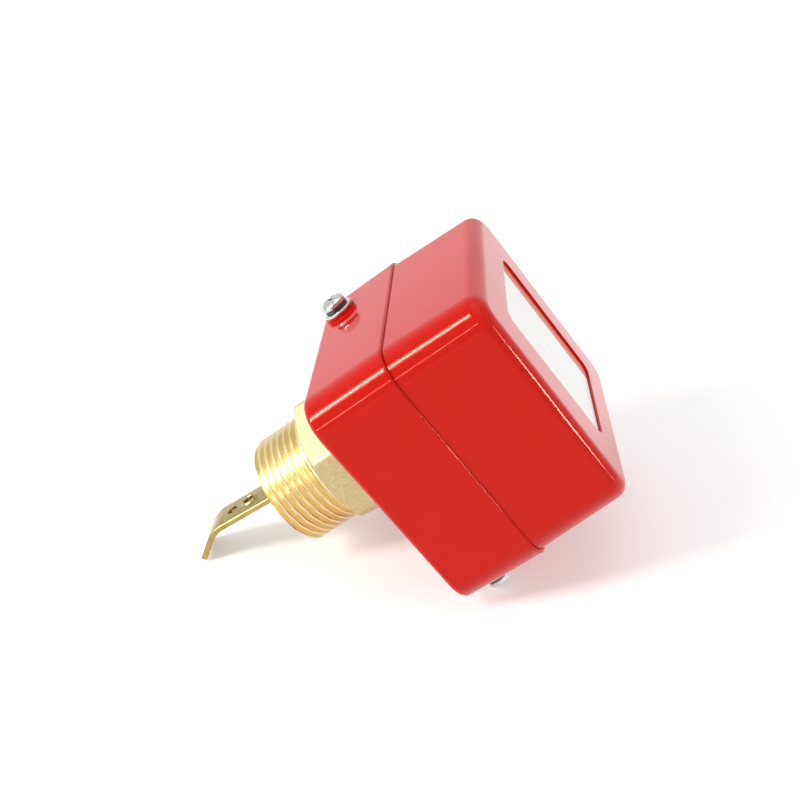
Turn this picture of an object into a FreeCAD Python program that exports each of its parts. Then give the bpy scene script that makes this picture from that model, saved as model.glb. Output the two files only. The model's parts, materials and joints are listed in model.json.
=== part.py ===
import FreeCAD, Part
import math
import os
import re
import Sketcher

# Paddle flow switch, in millimetres.
# Origin: on the nipple's axis, in the plane under the hexagon where the pipe thread starts.
# +Z runs up the nipple to the cover. +X runs along the housing, away from the nipple.
# The paddle arm is drawn upright on its pivot, and its Placement leans it to its rest angle.

SIZES = (
    # brass body
    ("thread_radius", 16.62),
    ("thread_length", 17.4),
    ("thread_chamfer", 0.9),
    ("bore_radius", 12.0),
    ("throat_radius", 9.0),
    ("throat_length", 6.0),
    ("hexagon_flats", 36.0),
    ("hexagon_height", 16.4),
    ("hexagon_turn", 3.2),
    ("hexagon_chamfer", 1.5),
    ("body_bolt_circle", 28.0),
    ("body_tap_radius", 1.65),
    ("body_tap_depth", 5.5),
    # housing base
    ("housing_offset", 6.2),
    ("housing_length", 71.5),
    ("housing_width", 77.5),
    ("base_height", 25.0),
    ("wall", 2.8),
    ("floor", 3.0),
    ("corner_radius", 9.0),
    ("foot_radius", 1.8),
    ("floor_opening", 10.0),
    ("body_hole_radius", 2.15),
    ("boss_radius", 4.9),
    ("boss_rise", 1.2),
    ("boss_depth", 2.0),
    ("side_screw_hole", 2.2),
    ("side_screw_near", 18.5),
    ("side_screw_far", 24.5),
    ("side_screw_up", 7.4),
    ("gasket_width", 1.3),
    ("gasket_height", 1.5),
    # cover
    ("cover_height", 28.6),
    ("cover_step", 0.7),
    ("cover_draft", 2.7),
    ("cover_corner", 9.0),
    ("cover_top_radius", 4.2),
    ("cover_wall", 2.5),
    ("cover_roof", 3.6),
    ("lip_depth", 4.0),
    ("lip_wall", 1.2),
    ("lip_gap", 0.2),
    ("tongue_width", 13.0),
    ("tongue_wall", 2.6),
    ("tongue_length", 21.5),
    ("label_length", 43.0),
    ("label_width", 42.0),
    ("label_shift_x", 0.8),
    ("label_shift_y", 1.0),
    ("label_recess", 1.0),
    ("label_corner", 3.2),
    ("label_margin", 0.35),
    ("label_thickness", 0.25),
    # cable inlet
    ("inlet_radius", 8.0),
    ("inlet_across", 9.0),
    ("inlet_up", 12.0),
    ("grommet_bore", 3.6),
    ("grommet_lip", 1.4),
    ("grommet_flange", 10.2),
    ("grommet_inner_flange", 8.9),
    # frame
    ("sheet_metal", 1.5),
    ("frame_back", 17.0),
    ("frame_front", 33.0),
    ("frame_width", 34.0),
    ("ear_inner", 9.0),
    ("ear_length", 12.0),
    ("ear_height", 8.4),
    ("pivot_up", 24.4),
    ("pin_radius", 1.5),
    ("pin_clearance", 0.04),
    ("pin_length", 23.4),
    ("clip_radius", 3.0),
    ("clip_thickness", 0.6),
    ("bush_radius", 2.6),
    ("wall_height", 34.0),
    ("plate_corner", 2.0),
    ("bridge_width", 15.0),
    ("bridge_reach", 30.0),
    # switch
    ("switch_length", 49.2),
    ("switch_thickness", 17.4),
    ("switch_height", 18.0),
    ("switch_up", 30.7),
    ("switch_shoulder", 9.5),
    ("switch_step", 6.5),
    ("switch_hole_pitch", 25.4),
    ("switch_hole_radius", 2.1),
    ("plunger_radius", 2.2),
    ("plunger_reach", 3.35),
    ("plunger_inside", 8.0),
    ("terminal_width", 7.0),
    ("terminal_length", 8.0),
    ("terminal_thickness", 0.8),
    ("insulator", 0.5),
    ("switch_bolt_up", 5.6),
    # range spring and its screw
    ("spring_across", 9.0),
    ("spring_radius", 3.3),
    ("spring_wire", 0.45),
    ("spring_turns", 6.0),
    ("spring_length", 9.95),
    ("spring_bottom", 29.15),
    ("seat_height", 3.0),
    ("seat_radius", 4.3),
    ("seat_bottom", 39.1),
    ("range_screw_radius", 2.5),
    ("range_screw_length", 18.0),
    ("range_head_radius", 4.5),
    ("range_head_height", 4.0),
    # fasteners
    ("screw_radius", 1.95),
    ("screw_head_radius", 3.9),
    ("screw_head_height", 2.5),
    ("screw_slot", 1.1),
    ("side_screw_length", 13.6),
    ("washer_radius", 4.6),
    ("washer_thickness", 0.8),
    ("spring_washer_radius", 3.6),
    ("spring_washer_height", 1.05),
    ("washer_bore", 2.1),
    ("nut_flats", 7.0),
    ("nut_height", 3.2),
    ("locknut_height", 2.5),
    ("body_screw_length", 9.5),
    ("switch_screw_length", 24.0),
    ("terminal_screw_radius", 1.7),
    ("terminal_head_radius", 3.0),
    ("terminal_screw_length", 6.0),
    ("ground_across", 12.0),
    ("ground_along", 26.0),
    # lever and paddle arm
    ("rest_angle", 3.7),
    ("arm_width", 11.6),
    ("arm_thickness", 1.8),
    ("arm_top", 2.3),
    ("arm_bend_at", 66.8),
    ("arm_tail", 10.0),
    ("arm_bend_radius", 15.0),
    ("arm_hole_near", 53.9),
    ("arm_hole_pitch", 6.3),
    ("arm_hole_radius", 1.65),
    ("arm_collar_radius", 2.5),
    ("arm_collar_rise", 0.5),
    ("lever_metal", 1.2),
    ("lever_reach", 27.0),
    ("lever_foot", 10.8),
    ("lever_cheek", 4.0),
    ("lever_top", 4.2),
    ("rivet_radius", 1.3),
    ("rivet_upper", 4.9),
    ("rivet_lower", 8.6),
    # bellows
    ("bellows_radius", 8.6),
    ("bellows_inner", 7.0),
    ("bellows_wall", 0.4),
    ("bellows_pitch", 4.0),
    ("bellows_folds", 3.0),
    ("bellows_rim_radius", 10.8),
    ("bellows_cap_radius", 8.0),
    ("bellows_cap_at", 29.6),
    ("bellows_cap_thickness", 1.2),
)

document = FreeCAD.newDocument("paddle_flow_switch")
sheet = document.addObject("Spreadsheet::Sheet", "Size")
for row, (alias, number) in enumerate(SIZES, start=1):
    sheet.set("A%d" % row, alias)
    sheet.set("B%d" % row, str(number))
    sheet.setAlias("B%d" % row, alias)
document.recompute()

ALIASES = {alias for alias, number in SIZES}
LABEL_SHIFT = ("label_shift_x", "label_shift_y")
NODES = {}


def bound(text):
    """Return a document expression: every word that is a sheet alias is read from the sheet."""
    def prefixed(match):
        word = match.group(0)
        return "Size." + word if word in ALIASES else word
    return re.sub(r"[a-z_]+", prefixed, str(text))


def place(item, x="0", y="0", z="0"):
    """Bind an object's position to the sheet."""
    item.setExpression("Placement.Base.x", bound(x))
    item.setExpression("Placement.Base.y", bound(y))
    item.setExpression("Placement.Base.z", bound(z))


def node(item, label):
    """Name an object and list it as a sub-part to write."""
    item.Label = label
    NODES[label] = item
    return item


def new_body(name):
    """Start a body; it may hold several separate solids when it is a group of fasteners."""
    body = document.addObject("PartDesign::Body", name)
    body.AllowCompound = True
    return body


def sketch_on(body, role, lift="0", turn=None):
    """Start a sketch on one of the body's own origin planes, lifted along the plane's normal."""
    plane = [item for item in body.Origin.OriginFeatures if item.Role == role][0]
    sketch = body.newObject("Sketcher::SketchObject", body.Name + "_sketch")
    sketch.AttachmentSupport = [(plane, "")]
    sketch.MapMode = "FlatFace"
    sketch.setExpression("AttachmentOffset.Base.z", bound(lift))
    if turn is not None:
        sketch.AttachmentOffset = FreeCAD.Placement(
            FreeCAD.Vector(), FreeCAD.Rotation(FreeCAD.Vector(0, 0, 1), 1))
        sketch.setExpression("AttachmentOffset.Rotation.Angle", bound(turn))
    return sketch


def seed_ring(count):
    """Return starting points on a circle; the sketch's constraints then move them into place."""
    spin = FreeCAD.Rotation(FreeCAD.Vector(0, 0, 1), 360.0 / count)
    points = [FreeCAD.Vector(40, 0, 0)]
    for _ in range(count - 1):
        points.append(spin.multVec(points[-1]))
    return points


def fix_point(sketch, geometry, vertex, x, y, centre_seed=FreeCAD.Vector(1, 1, 0)):
    """Tie one sketch vertex to the origin with two bound distances."""
    for kind, text, seed in (("DistanceX", x, centre_seed.x), ("DistanceY", y, centre_seed.y)):
        index = sketch.addConstraint(Sketcher.Constraint(kind, -1, 1, geometry, vertex, seed))
        sketch.setExpression("Constraints[%d]" % index, bound(text))


def outline(sketch, corners):
    """Draw a closed outline through corners given as pairs of expressions."""
    count = len(corners)
    first = sketch.GeometryCount
    points = seed_ring(count)
    for i in range(count):
        sketch.addGeometry(Part.LineSegment(points[i], points[(i + 1) % count]), False)
    for i in range(count):
        following = first + (i + 1) % count
        sketch.addConstraint(Sketcher.Constraint("Coincident", first + i, 2, following, 1))
    for i, (x, y) in enumerate(corners):
        fix_point(sketch, first + i, 1, x, y)


def rectangle(sketch, x0, y0, x1, y1):
    """Draw a rectangle between two opposite corners given as expressions."""
    outline(sketch, [(x0, y0), (x1, y0), (x1, y1), (x0, y1)])


def centred_rectangle(sketch, length, width):
    """Draw a rectangle centred on the sketch's origin."""
    half_x = "(%s) / 2" % length
    half_y = "(%s) / 2" % width
    rectangle(sketch, "-" + half_x, "-" + half_y, half_x, half_y)


def rounded_rectangle(sketch, length, width, radius, shift=("0", "0")):
    """Draw a rectangle with rounded corners; its middle may be shifted off the origin."""
    first = sketch.GeometryCount
    half_x, half_y, round_seed = 30.0, 28.0, 4.0
    corners = ((1, -1), (1, 1), (-1, 1), (-1, -1))
    for i, (side_x, side_y) in enumerate(corners):
        centre = FreeCAD.Vector(side_x * (half_x - round_seed), side_y * (half_y - round_seed), 0)
        start = math.radians(90 * i - 90)
        arc = Part.ArcOfCircle(
            Part.Circle(centre, FreeCAD.Vector(0, 0, 1), round_seed), start, start + math.pi / 2)
        sketch.addGeometry(arc, False)
    for i in range(4):
        begin = sketch.Geometry[first + i].EndPoint
        end = sketch.Geometry[first + (i + 1) % 4].StartPoint
        sketch.addGeometry(Part.LineSegment(begin, end), False)
    for i, (side_x, side_y) in enumerate(corners):
        arc = first + i
        line = first + 4 + i
        sketch.addConstraint(Sketcher.Constraint("Tangent", arc, 2, line, 1))
        sketch.addConstraint(Sketcher.Constraint("Tangent", line, 2, first + (i + 1) % 4, 1))
        size = sketch.addConstraint(Sketcher.Constraint("Radius", arc, round_seed))
        sketch.setExpression("Constraints[%d]" % size, bound(radius))
        fix_point(sketch, arc, 3,
                  "%d * ((%s) / 2 - (%s)) + %s" % (side_x, length, radius, shift[0]),
                  "%d * ((%s) / 2 - (%s)) + %s" % (side_y, width, radius, shift[1]),
                  centre_seed=sketch.Geometry[arc].Center)


def circle(sketch, x, y, radius):
    """Draw a circle with bound centre and radius."""
    index = sketch.addGeometry(
        Part.Circle(FreeCAD.Vector(1, 1, 0), FreeCAD.Vector(0, 0, 1), 3.0), False)
    fix_point(sketch, index, 3, x, y)
    size = sketch.addConstraint(Sketcher.Constraint("Radius", index, 3.0))
    sketch.setExpression("Constraints[%d]" % size, bound(radius))


def pad(body, sketch, length, both_ways=False, backwards=False):
    """Pad a sketch by a bound length."""
    feature = body.newObject("PartDesign::Pad", body.Name + "_pad")
    feature.Profile = sketch
    feature.setExpression("Length", bound(length))
    feature.Midplane = both_ways
    feature.Reversed = backwards
    return feature


def pocket(body, sketch, length, both_ways=False, backwards=False):
    """Cut a sketch to a bound depth."""
    feature = body.newObject("PartDesign::Pocket", body.Name + "_pocket")
    feature.Profile = sketch
    feature.setExpression("Length", bound(length))
    feature.Midplane = both_ways
    feature.Reversed = backwards
    return feature


def turned(body, sketch, cut=False):
    """Revolve a sketch a full turn about its vertical axis, adding or cutting."""
    kind = "PartDesign::Groove" if cut else "PartDesign::Revolution"
    feature = body.newObject(kind, body.Name + "_turned")
    feature.Profile = sketch
    feature.ReferenceAxis = (sketch, ["V_Axis"])
    feature.Angle = 360
    return feature


def ring_pattern(body, original, count):
    """Repeat a feature evenly round the body's Z axis."""
    axis = [item for item in body.Origin.OriginFeatures if item.Role == "Z_Axis"][0]
    pattern = body.newObject("PartDesign::PolarPattern", body.Name + "_ring")
    pattern.Originals = [original]
    pattern.Axis = (axis, [""])
    pattern.Angle = 360
    pattern.Occurrences = count
    body.Tip = pattern
    return pattern


def edge_names(feature, chosen):
    """List the names of the feature's edges that a test picks."""
    return ["Edge%d" % (i + 1) for i, edge in enumerate(feature.Shape.Edges) if chosen(edge)]


def dress(body, kind, base, chosen, size):
    """Fillet or chamfer the chosen edges of a feature by a bound size."""
    document.recompute()
    feature = body.newObject("PartDesign::" + kind, body.Name + "_" + kind.lower())
    feature.Base = (base, edge_names(base, chosen))
    feature.setExpression("Radius" if kind == "Fillet" else "Size", bound(size))
    return feature


def draft(body, base, chosen, angle, inward=False):
    """Draft the chosen side faces of a feature about the body's base plane."""
    document.recompute()
    feature = body.newObject("PartDesign::Draft", body.Name + "_draft")
    names = ["Face%d" % (i + 1) for i, face in enumerate(base.Shape.Faces) if chosen(face)]
    plane = [item for item in body.Origin.OriginFeatures if item.Role == "XY_Plane"][0]
    feature.Base = (base, names)
    feature.NeutralPlane = (plane, [""])
    feature.setExpression("Angle", bound(angle))
    feature.Reversed = inward
    return feature


def level(height, tolerance=0.01):
    """Make a test for edges that lie flat at one height."""
    def test(edge):
        box = edge.BoundBox
        return abs(box.ZMin - height) < tolerance and abs(box.ZMax - height) < tolerance
    return test


def upright(least, inner=0.0, outer=1e6):
    """Make a test for near-vertical edges longer than a length, between two radii."""
    def test(edge):
        box = edge.BoundBox
        middle = edge.BoundBox.Center
        radius = FreeCAD.Vector(middle.x, middle.y, 0).Length
        thin = max(box.XLength, box.YLength) < 0.2 * box.ZLength
        return thin and box.ZLength > least and inner < radius < outer
    return test


def number(alias):
    """Read one driving dimension from the sheet."""
    return sheet.get(alias)


def brass_body():
    """Turned nipple with a cast hexagon, a stepped bore and four tapped holes on top."""
    body = node(new_body("brass_body"), "brass_body")
    profile = sketch_on(body, "XZ_Plane")
    outline(profile, [
        ("0", "hexagon_height"),
        ("0", "-thread_length"),
        ("thread_radius - thread_chamfer", "-thread_length"),
        ("thread_radius", "-thread_length + thread_chamfer"),
        ("thread_radius", "hexagon_height"),
    ])
    turned(body, profile)
    hexagon = sketch_on(body, "XY_Plane", turn="hexagon_turn")
    half = "hexagon_flats / 2"
    reach = "hexagon_flats / 2 * 1.1547005"
    outline(hexagon, [
        (reach, "0"),
        (reach + " / 2", half),
        ("-" + reach + " / 2", half),
        ("-" + reach, "0"),
        ("-" + reach + " / 2", "-" + half),
        (reach + " / 2", "-" + half),
    ])
    pad(body, hexagon, "hexagon_height")
    bevel = sketch_on(body, "XZ_Plane")
    outline(bevel, [
        ("hexagon_flats / 2 - 0.2", "-0.01"),
        ("hexagon_flats / 2 + 4", "-0.01"),
        ("hexagon_flats / 2 + 4", "hexagon_chamfer * 1.6"),
    ])
    turned(body, bevel, cut=True)
    bore = sketch_on(body, "XZ_Plane")
    outline(bore, [
        ("0", "-thread_length - 1"),
        ("bore_radius + 1", "-thread_length - 1"),
        ("bore_radius + 1", "-thread_length"),
        ("bore_radius", "-thread_length + 1"),
        ("bore_radius", "hexagon_height - throat_length"),
        ("throat_radius", "hexagon_height - throat_length"),
        ("throat_radius", "hexagon_height + 1"),
        ("0", "hexagon_height + 1"),
    ])
    turned(body, bore, cut=True)
    taps = sketch_on(body, "XY_Plane", lift="hexagon_height", turn="45")
    circle(taps, "body_bolt_circle / 2", "0", "body_tap_radius")
    ring_pattern(body, pocket(body, taps, "body_tap_depth"), 4)


def housing_base():
    """Open box with a floor opening, two side screw bosses, a gasket rebate and a cable inlet."""
    body = node(new_body("housing_base"), "housing_base")
    place(body, x="housing_offset", z="hexagon_height")
    height = number("base_height")
    footprint = sketch_on(body, "XY_Plane")
    centred_rectangle(footprint, "housing_length", "housing_width")
    block = pad(body, footprint, "base_height")
    rounded = dress(body, "Fillet", block, upright(20), "corner_radius")
    dress(body, "Fillet", rounded, level(0), "foot_radius")
    inside = sketch_on(body, "XY_Plane", lift="base_height")
    centred_rectangle(inside, "housing_length - 2 * wall", "housing_width - 2 * wall")
    hollow = pocket(body, inside, "base_height - floor")
    dress(body, "Fillet", hollow, inner_upright(height), "corner_radius - wall")
    rebate = sketch_on(body, "XY_Plane", lift="base_height")
    rounded_rectangle(rebate, "housing_length - 2 * wall + 2 * gasket_width",
                      "housing_width - 2 * wall + 2 * gasket_width",
                      "corner_radius - wall + gasket_width")
    pocket(body, rebate, "gasket_height")
    for sign in ("-", "+"):
        side_boss(body, sign)
    floor_holes(body)
    inlet = sketch_on(body, "YZ_Plane", lift="housing_length / 2 + 1")
    circle(inlet, "inlet_across", "inlet_up", "inlet_radius")
    pocket(body, inlet, "wall + 2")


def inner_upright(height):
    """Make a test for the base's inner corner edges."""
    limit_x = number("housing_length") / 2 - number("wall") + 0.1
    limit_y = number("housing_width") / 2 - number("wall") + 0.1

    def test(edge):
        box = edge.BoundBox
        inside = max(abs(box.XMin), abs(box.XMax)) < limit_x and max(abs(box.YMin), abs(box.YMax)) < limit_y
        straight = box.XLength < 0.01 and box.YLength < 0.01
        return inside and straight and box.ZLength > 0.5 * height
    return test


def screw_across(sign):
    """Give a side screw's place across its end wall: near the nipple, or at the far end."""
    return "side_screw_near" if sign == "-" else "-side_screw_far"


def side_boss(body, sign):
    """Add one round boss through an end wall, then its screw hole."""
    across = screw_across(sign)
    face = "%s(housing_length / 2 + boss_rise)" % sign
    inward = sign == "+"
    disc = sketch_on(body, "YZ_Plane", lift=face)
    circle(disc, across, "side_screw_up", "boss_radius")
    pad(body, disc, "boss_rise + wall + boss_depth", backwards=inward)
    hole = sketch_on(body, "YZ_Plane", lift="%s(housing_length / 2 + boss_rise + 1)" % sign)
    circle(hole, across, "side_screw_up", "side_screw_hole")
    pocket(body, hole, "boss_rise + wall + boss_depth + 3", backwards=not inward)


def floor_holes(body):
    """Cut the central opening and the four body screw holes through the floor."""
    opening = sketch_on(body, "XY_Plane", lift="floor + 1")
    circle(opening, "-housing_offset", "0", "floor_opening")
    reach = "body_bolt_circle / 2 * 0.7071068"
    for side_x in ("-", "+"):
        for side_y in ("-", "+"):
            circle(opening, "-housing_offset %s %s" % (side_x, reach), side_y + reach,
                   "body_hole_radius")
    pocket(body, opening, "floor + 2")


def housing_cover():
    """Drafted cover, hollowed, with the label recess, a locating lip and two screw tongues."""
    body = node(new_body("housing_cover"), "housing_cover")
    place(body, x="housing_offset", z="hexagon_height + base_height")
    height = number("cover_height")
    tall = number("cover_height") - number("cover_roof")
    outer_x = number("housing_length") / 2 - number("cover_step") - number("cover_wall")
    outer_y = number("housing_width") / 2 - number("cover_step") - number("cover_wall")
    footprint = sketch_on(body, "XY_Plane")
    rounded_rectangle(footprint, "housing_length - 2 * cover_step",
                      "housing_width - 2 * cover_step", "cover_corner")
    block = pad(body, footprint, "cover_height")
    drafted = draft(body, block, lambda face: face.BoundBox.ZLength > tall, "cover_draft")
    dress(body, "Fillet", drafted, level(height), "cover_top_radius")
    inside = sketch_on(body, "XY_Plane")
    rounded_rectangle(inside, "housing_length - 2 * cover_step - 2 * cover_wall",
                      "housing_width - 2 * cover_step - 2 * cover_wall",
                      "cover_corner - cover_wall + 0.4")
    hollow = pocket(body, inside, "cover_height - cover_roof", backwards=True)

    def cavity_side(face):
        box = face.BoundBox
        within = box.XMax < outer_x + 0.1 and box.XMin > -outer_x - 0.1
        return box.ZLength > tall - 0.1 and within and abs(box.Center.y) < outer_y + 0.1
    draft(body, hollow, cavity_side, "cover_draft", inward=True)
    recess = sketch_on(body, "XY_Plane", lift="cover_height")
    rounded_rectangle(recess, "label_length", "label_width", "label_corner", LABEL_SHIFT)
    pocket(body, recess, "label_recess")
    lip = sketch_on(body, "XY_Plane")
    lip_outside = "2 * wall + 2 * lip_gap"
    lip_inside = "2 * wall + 2 * lip_gap + 2 * lip_wall"
    lip_radius = "corner_radius - wall - lip_gap"
    rounded_rectangle(lip, "housing_length - (%s)" % lip_outside,
                      "housing_width - (%s)" % lip_outside, lip_radius)
    rounded_rectangle(lip, "housing_length - (%s)" % lip_inside,
                      "housing_width - (%s)" % lip_inside, lip_radius + " - lip_wall")
    pad(body, lip, "lip_depth", backwards=True)
    land = sketch_on(body, "XY_Plane")
    rounded_rectangle(land, "housing_length - (%s)" % lip_outside,
                      "housing_width - (%s)" % lip_outside, lip_radius)
    rounded_rectangle(land, "housing_length - (%s)" % lip_inside,
                      "housing_width - (%s)" % lip_inside, lip_radius + " - lip_wall")
    pad(body, land, "3")
    for sign in ("-", "+"):
        cover_tongue(body, sign)


def cover_tongue(body, sign):
    """Add one tongue that hangs down inside an end wall and takes a side screw."""
    across = screw_across(sign)
    outer = "%s(housing_length / 2 - wall - boss_depth - 0.2)" % sign
    inner = "%s(housing_length / 2 - wall - boss_depth - 0.2 - tongue_wall)" % sign
    root = "%s(housing_length / 2 - wall - lip_gap - lip_wall / 2)" % sign
    bracket = sketch_on(body, "XY_Plane", lift="3")
    outline(bracket, [(root, "%s - tongue_width / 2" % across),
                      (inner, "%s - tongue_width / 2" % across),
                      (inner, "%s + tongue_width / 2" % across),
                      (root, "%s + tongue_width / 2" % across)])
    pad(body, bracket, "3 + lip_depth", backwards=True)
    section = sketch_on(body, "XY_Plane")
    edges = [(outer, "%s - tongue_width / 2" % across), (inner, "%s - tongue_width / 2" % across),
             (inner, "%s + tongue_width / 2" % across), (outer, "%s + tongue_width / 2" % across)]
    outline(section, edges)
    pad(body, section, "tongue_length", backwards=True)
    hole = sketch_on(body, "YZ_Plane", lift="%s(housing_length / 2)" % sign)
    circle(hole, across, "side_screw_up - base_height", "side_screw_hole")
    pocket(body, hole, "wall + boss_depth + tongue_wall + 3", backwards=sign == "-")


def rating_label():
    """Thin label on the recess floor."""
    body = node(new_body("rating_label"), "rating_label")
    place(body, x="housing_offset",
          z="hexagon_height + base_height + cover_height - label_recess")
    sheet_outline = sketch_on(body, "XY_Plane")
    rounded_rectangle(sheet_outline, "label_length - 2 * label_margin",
                      "label_width - 2 * label_margin", "label_corner - label_margin", LABEL_SHIFT)
    pad(body, sheet_outline, "label_thickness")


def cover_gasket():
    """Rubber frame in the base's rebate, under the cover's edge."""
    body = node(new_body("cover_gasket"), "cover_gasket")
    place(body, x="housing_offset", z="hexagon_height + base_height - gasket_height")
    ring = sketch_on(body, "XY_Plane")
    rounded_rectangle(ring, "housing_length - 2 * wall + 2 * gasket_width - 0.1",
                      "housing_width - 2 * wall + 2 * gasket_width - 0.1",
                      "corner_radius - wall + gasket_width - 0.05")
    rounded_rectangle(ring, "housing_length - 2 * wall + 0.1", "housing_width - 2 * wall + 0.1",
                      "corner_radius - wall + 0.05")
    pad(body, ring, "gasket_height")


def cable_grommet():
    """Rubber grommet that lines the cable inlet."""
    body = node(new_body("cable_grommet"), "cable_grommet")
    place(body, x="housing_offset + housing_length / 2", y="inlet_across",
          z="hexagon_height + inlet_up")
    body.Placement.Rotation = FreeCAD.Rotation(FreeCAD.Vector(0, 1, 0), 90)
    profile = sketch_on(body, "XZ_Plane")
    outline(profile, [
        ("grommet_bore", "grommet_lip"),
        ("grommet_flange - 0.8", "grommet_lip"),
        ("grommet_flange", "grommet_lip - 0.8"),
        ("grommet_flange", "0"),
        ("inlet_radius", "0"),
        ("inlet_radius", "-wall"),
        ("grommet_inner_flange", "-wall"),
        ("grommet_inner_flange", "-wall - grommet_lip + 0.5"),
        ("grommet_inner_flange - 0.5", "-wall - grommet_lip"),
        ("grommet_bore", "-wall - grommet_lip"),
    ])
    turned(body, profile)


def fastener(name, head, height, shank, length, slot="cross"):
    """Draw a screw upright on its seat: domed head above, shank below, driver slot cut in."""
    body = new_body(name)
    profile = sketch_on(body, "XZ_Plane")
    outline(profile, [
        ("0", "-(%s)" % length),
        (shank, "-(%s)" % length),
        (shank, "0"),
        (head, "0"),
        (head, "(%s) * 0.6" % height),
        ("(%s) * 0.72" % head, height),
        ("0", height),
    ])
    turned(body, profile)
    recess = sketch_on(body, "XY_Plane", lift=height)
    reach = "(%s) * 0.55" % head if slot == "cross" else "(%s) * 1.1" % head
    half = "screw_slot / 2"
    if slot == "cross":
        outline(recess, [
            (half, half), (half, reach), ("-" + half, reach), ("-" + half, half),
            ("-" + reach, half), ("-" + reach, "-" + half), ("-" + half, "-" + half),
            ("-" + half, "-" + reach), (half, "-" + reach), (half, "-" + half),
            (reach, "-" + half), (reach, half)])
    else:
        rectangle(recess, "-(%s)" % reach, "-" + half, reach, half)
    pocket(body, recess, "(%s) * 0.55" % height)
    return body


def hexagon_nut(name, height, bore):
    """Draw a hexagon nut standing on its seat."""
    body = new_body(name)
    section = sketch_on(body, "XY_Plane")
    reach = "nut_flats / 2 * 1.1547005"
    half = "nut_flats / 2"
    outline(section, [(reach, "0"), (reach + " / 2", half), ("-" + reach + " / 2", half),
                      ("-" + reach, "0"), ("-" + reach + " / 2", "-" + half),
                      (reach + " / 2", "-" + half)])
    circle(section, "0", "0", bore)
    pad(body, section, height)
    return body


def washer(name, radius, bore, thickness):
    """Draw a flat ring standing on its seat."""
    body = new_body(name)
    section = sketch_on(body, "XY_Plane")
    circle(section, "0", "0", radius)
    circle(section, "0", "0", bore)
    pad(body, section, thickness)
    return body


def copies(label, master, places):
    """Set copies of one master at several places and join them as one group node."""
    links = []
    for x, y, z, axis, angle in places:
        link = document.addObject("App::Link", label + "_copy")
        link.LinkedObject = master
        link.LinkTransform = True
        link.Placement = FreeCAD.Placement(
            FreeCAD.Vector(), FreeCAD.Rotation(FreeCAD.Vector(*axis), angle))
        place(link, x, y, z)
        links.append(link)
    group = document.addObject("Part::Compound", label)
    group.Links = links
    return node(group, label)


UP = (0, 0, 1)
SIDEWAYS = (0, 1, 0)


def side_places(stand_off):
    """Give the two side screws' places, at a height above the end walls."""
    reach = "housing_length / 2 + (%s)" % stand_off
    height = "hexagon_height + side_screw_up"
    return [("housing_offset - (%s)" % reach, screw_across("-"), height, SIDEWAYS, -90),
            ("housing_offset + (%s)" % reach, screw_across("+"), height, SIDEWAYS, 90)]


def side_fastenings():
    """Two screws with spring and flat washers that hold the cover's tongues, and their nuts."""
    flat = washer("flat_washer", "washer_radius", "washer_bore", "washer_thickness")
    copies("cover_flat_washers", flat, side_places("boss_rise"))
    split = washer("split_washer", "spring_washer_radius", "washer_bore", "spring_washer_height")
    gap = sketch_on(split, "XY_Plane")
    rectangle(gap, "0", "-0.35", "spring_washer_radius + 1", "0.35")
    pocket(split, gap, "spring_washer_height + 1", backwards=True)
    copies("cover_spring_washers", split, side_places("boss_rise + washer_thickness"))
    seat = "boss_rise + washer_thickness + spring_washer_height"
    screw = fastener("side_screw", "screw_head_radius", "screw_head_height", "screw_radius",
                     "side_screw_length")
    copies("cover_screws", screw, side_places(seat))
    nut = hexagon_nut("side_nut", "nut_height", "screw_radius")
    copies("cover_nuts", nut, side_places("-(wall + boss_depth + 0.2 + tongue_wall + nut_height)"))


def mechanism_frame():
    """Folded steel frame: floor plate, two pivot ears, switch wall and range screw bridge."""
    body = node(new_body("mechanism_frame"), "mechanism_frame")
    place(body, z="hexagon_height + floor")
    plate = sketch_on(body, "XY_Plane")
    rectangle(plate, "-frame_back", "-frame_width / 2", "frame_front", "frame_width / 2")
    circle(plate, "0", "0", "floor_opening")
    reach = "body_bolt_circle / 2 * 0.7071068"
    for side_x in ("-", ""):
        for side_y in ("-", ""):
            circle(plate, side_x + reach, side_y + reach, "body_hole_radius")
    circle(plate, "ground_along", "-ground_across", "screw_radius")
    pad(body, plate, "sheet_metal")
    for side in ("-", ""):
        ear = sketch_on(body, "XY_Plane")
        rectangle(ear, "-ear_length / 2", side + "ear_inner", "ear_length / 2",
                  side + "(ear_inner + sheet_metal)")
        pad(body, ear, "sheet_metal + ear_height")
    wall_sketch = sketch_on(body, "XY_Plane")
    rectangle(wall_sketch, "frame_front - sheet_metal", "-frame_width / 2",
              "frame_front", "frame_width / 2")
    pad(body, wall_sketch, "wall_height")
    bridge = sketch_on(body, "XY_Plane", lift="wall_height - sheet_metal")
    rectangle(bridge, "frame_front - bridge_reach", "-bridge_width / 2",
              "frame_front", "bridge_width / 2")
    circle(bridge, "spring_across", "0", "range_screw_radius + 0.06")
    pad(body, bridge, "sheet_metal")
    pin_hole = sketch_on(body, "XZ_Plane")
    circle(pin_hole, "0", "pivot_up - hexagon_height - floor", "pin_radius + pin_clearance")
    pocket(body, pin_hole, "3 * ear_inner", both_ways=True)
    bolts = sketch_on(body, "YZ_Plane", lift="frame_front + 1")
    for side in ("-", ""):
        circle(bolts, side + "switch_hole_pitch / 2",
               "switch_up + switch_bolt_up - hexagon_height - floor", "switch_hole_radius")
    last = pocket(body, bolts, "sheet_metal + 2")
    thickness = number("sheet_metal")
    front = number("frame_front")

    def free_corner(edge):
        box = edge.BoundBox
        straight = box.XLength < 0.01 and box.YLength < 0.01
        ear = abs(box.Center.x) < number("ear_length")
        outside = abs(box.Center.y) > number("bridge_width") / 2 - 0.01
        plate_edge = abs(box.ZLength - thickness) < 0.01
        return straight and plate_edge and box.Center.x < front - 2 and outside and not ear
    dress(body, "Fillet", last, free_corner, "plate_corner")


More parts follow.
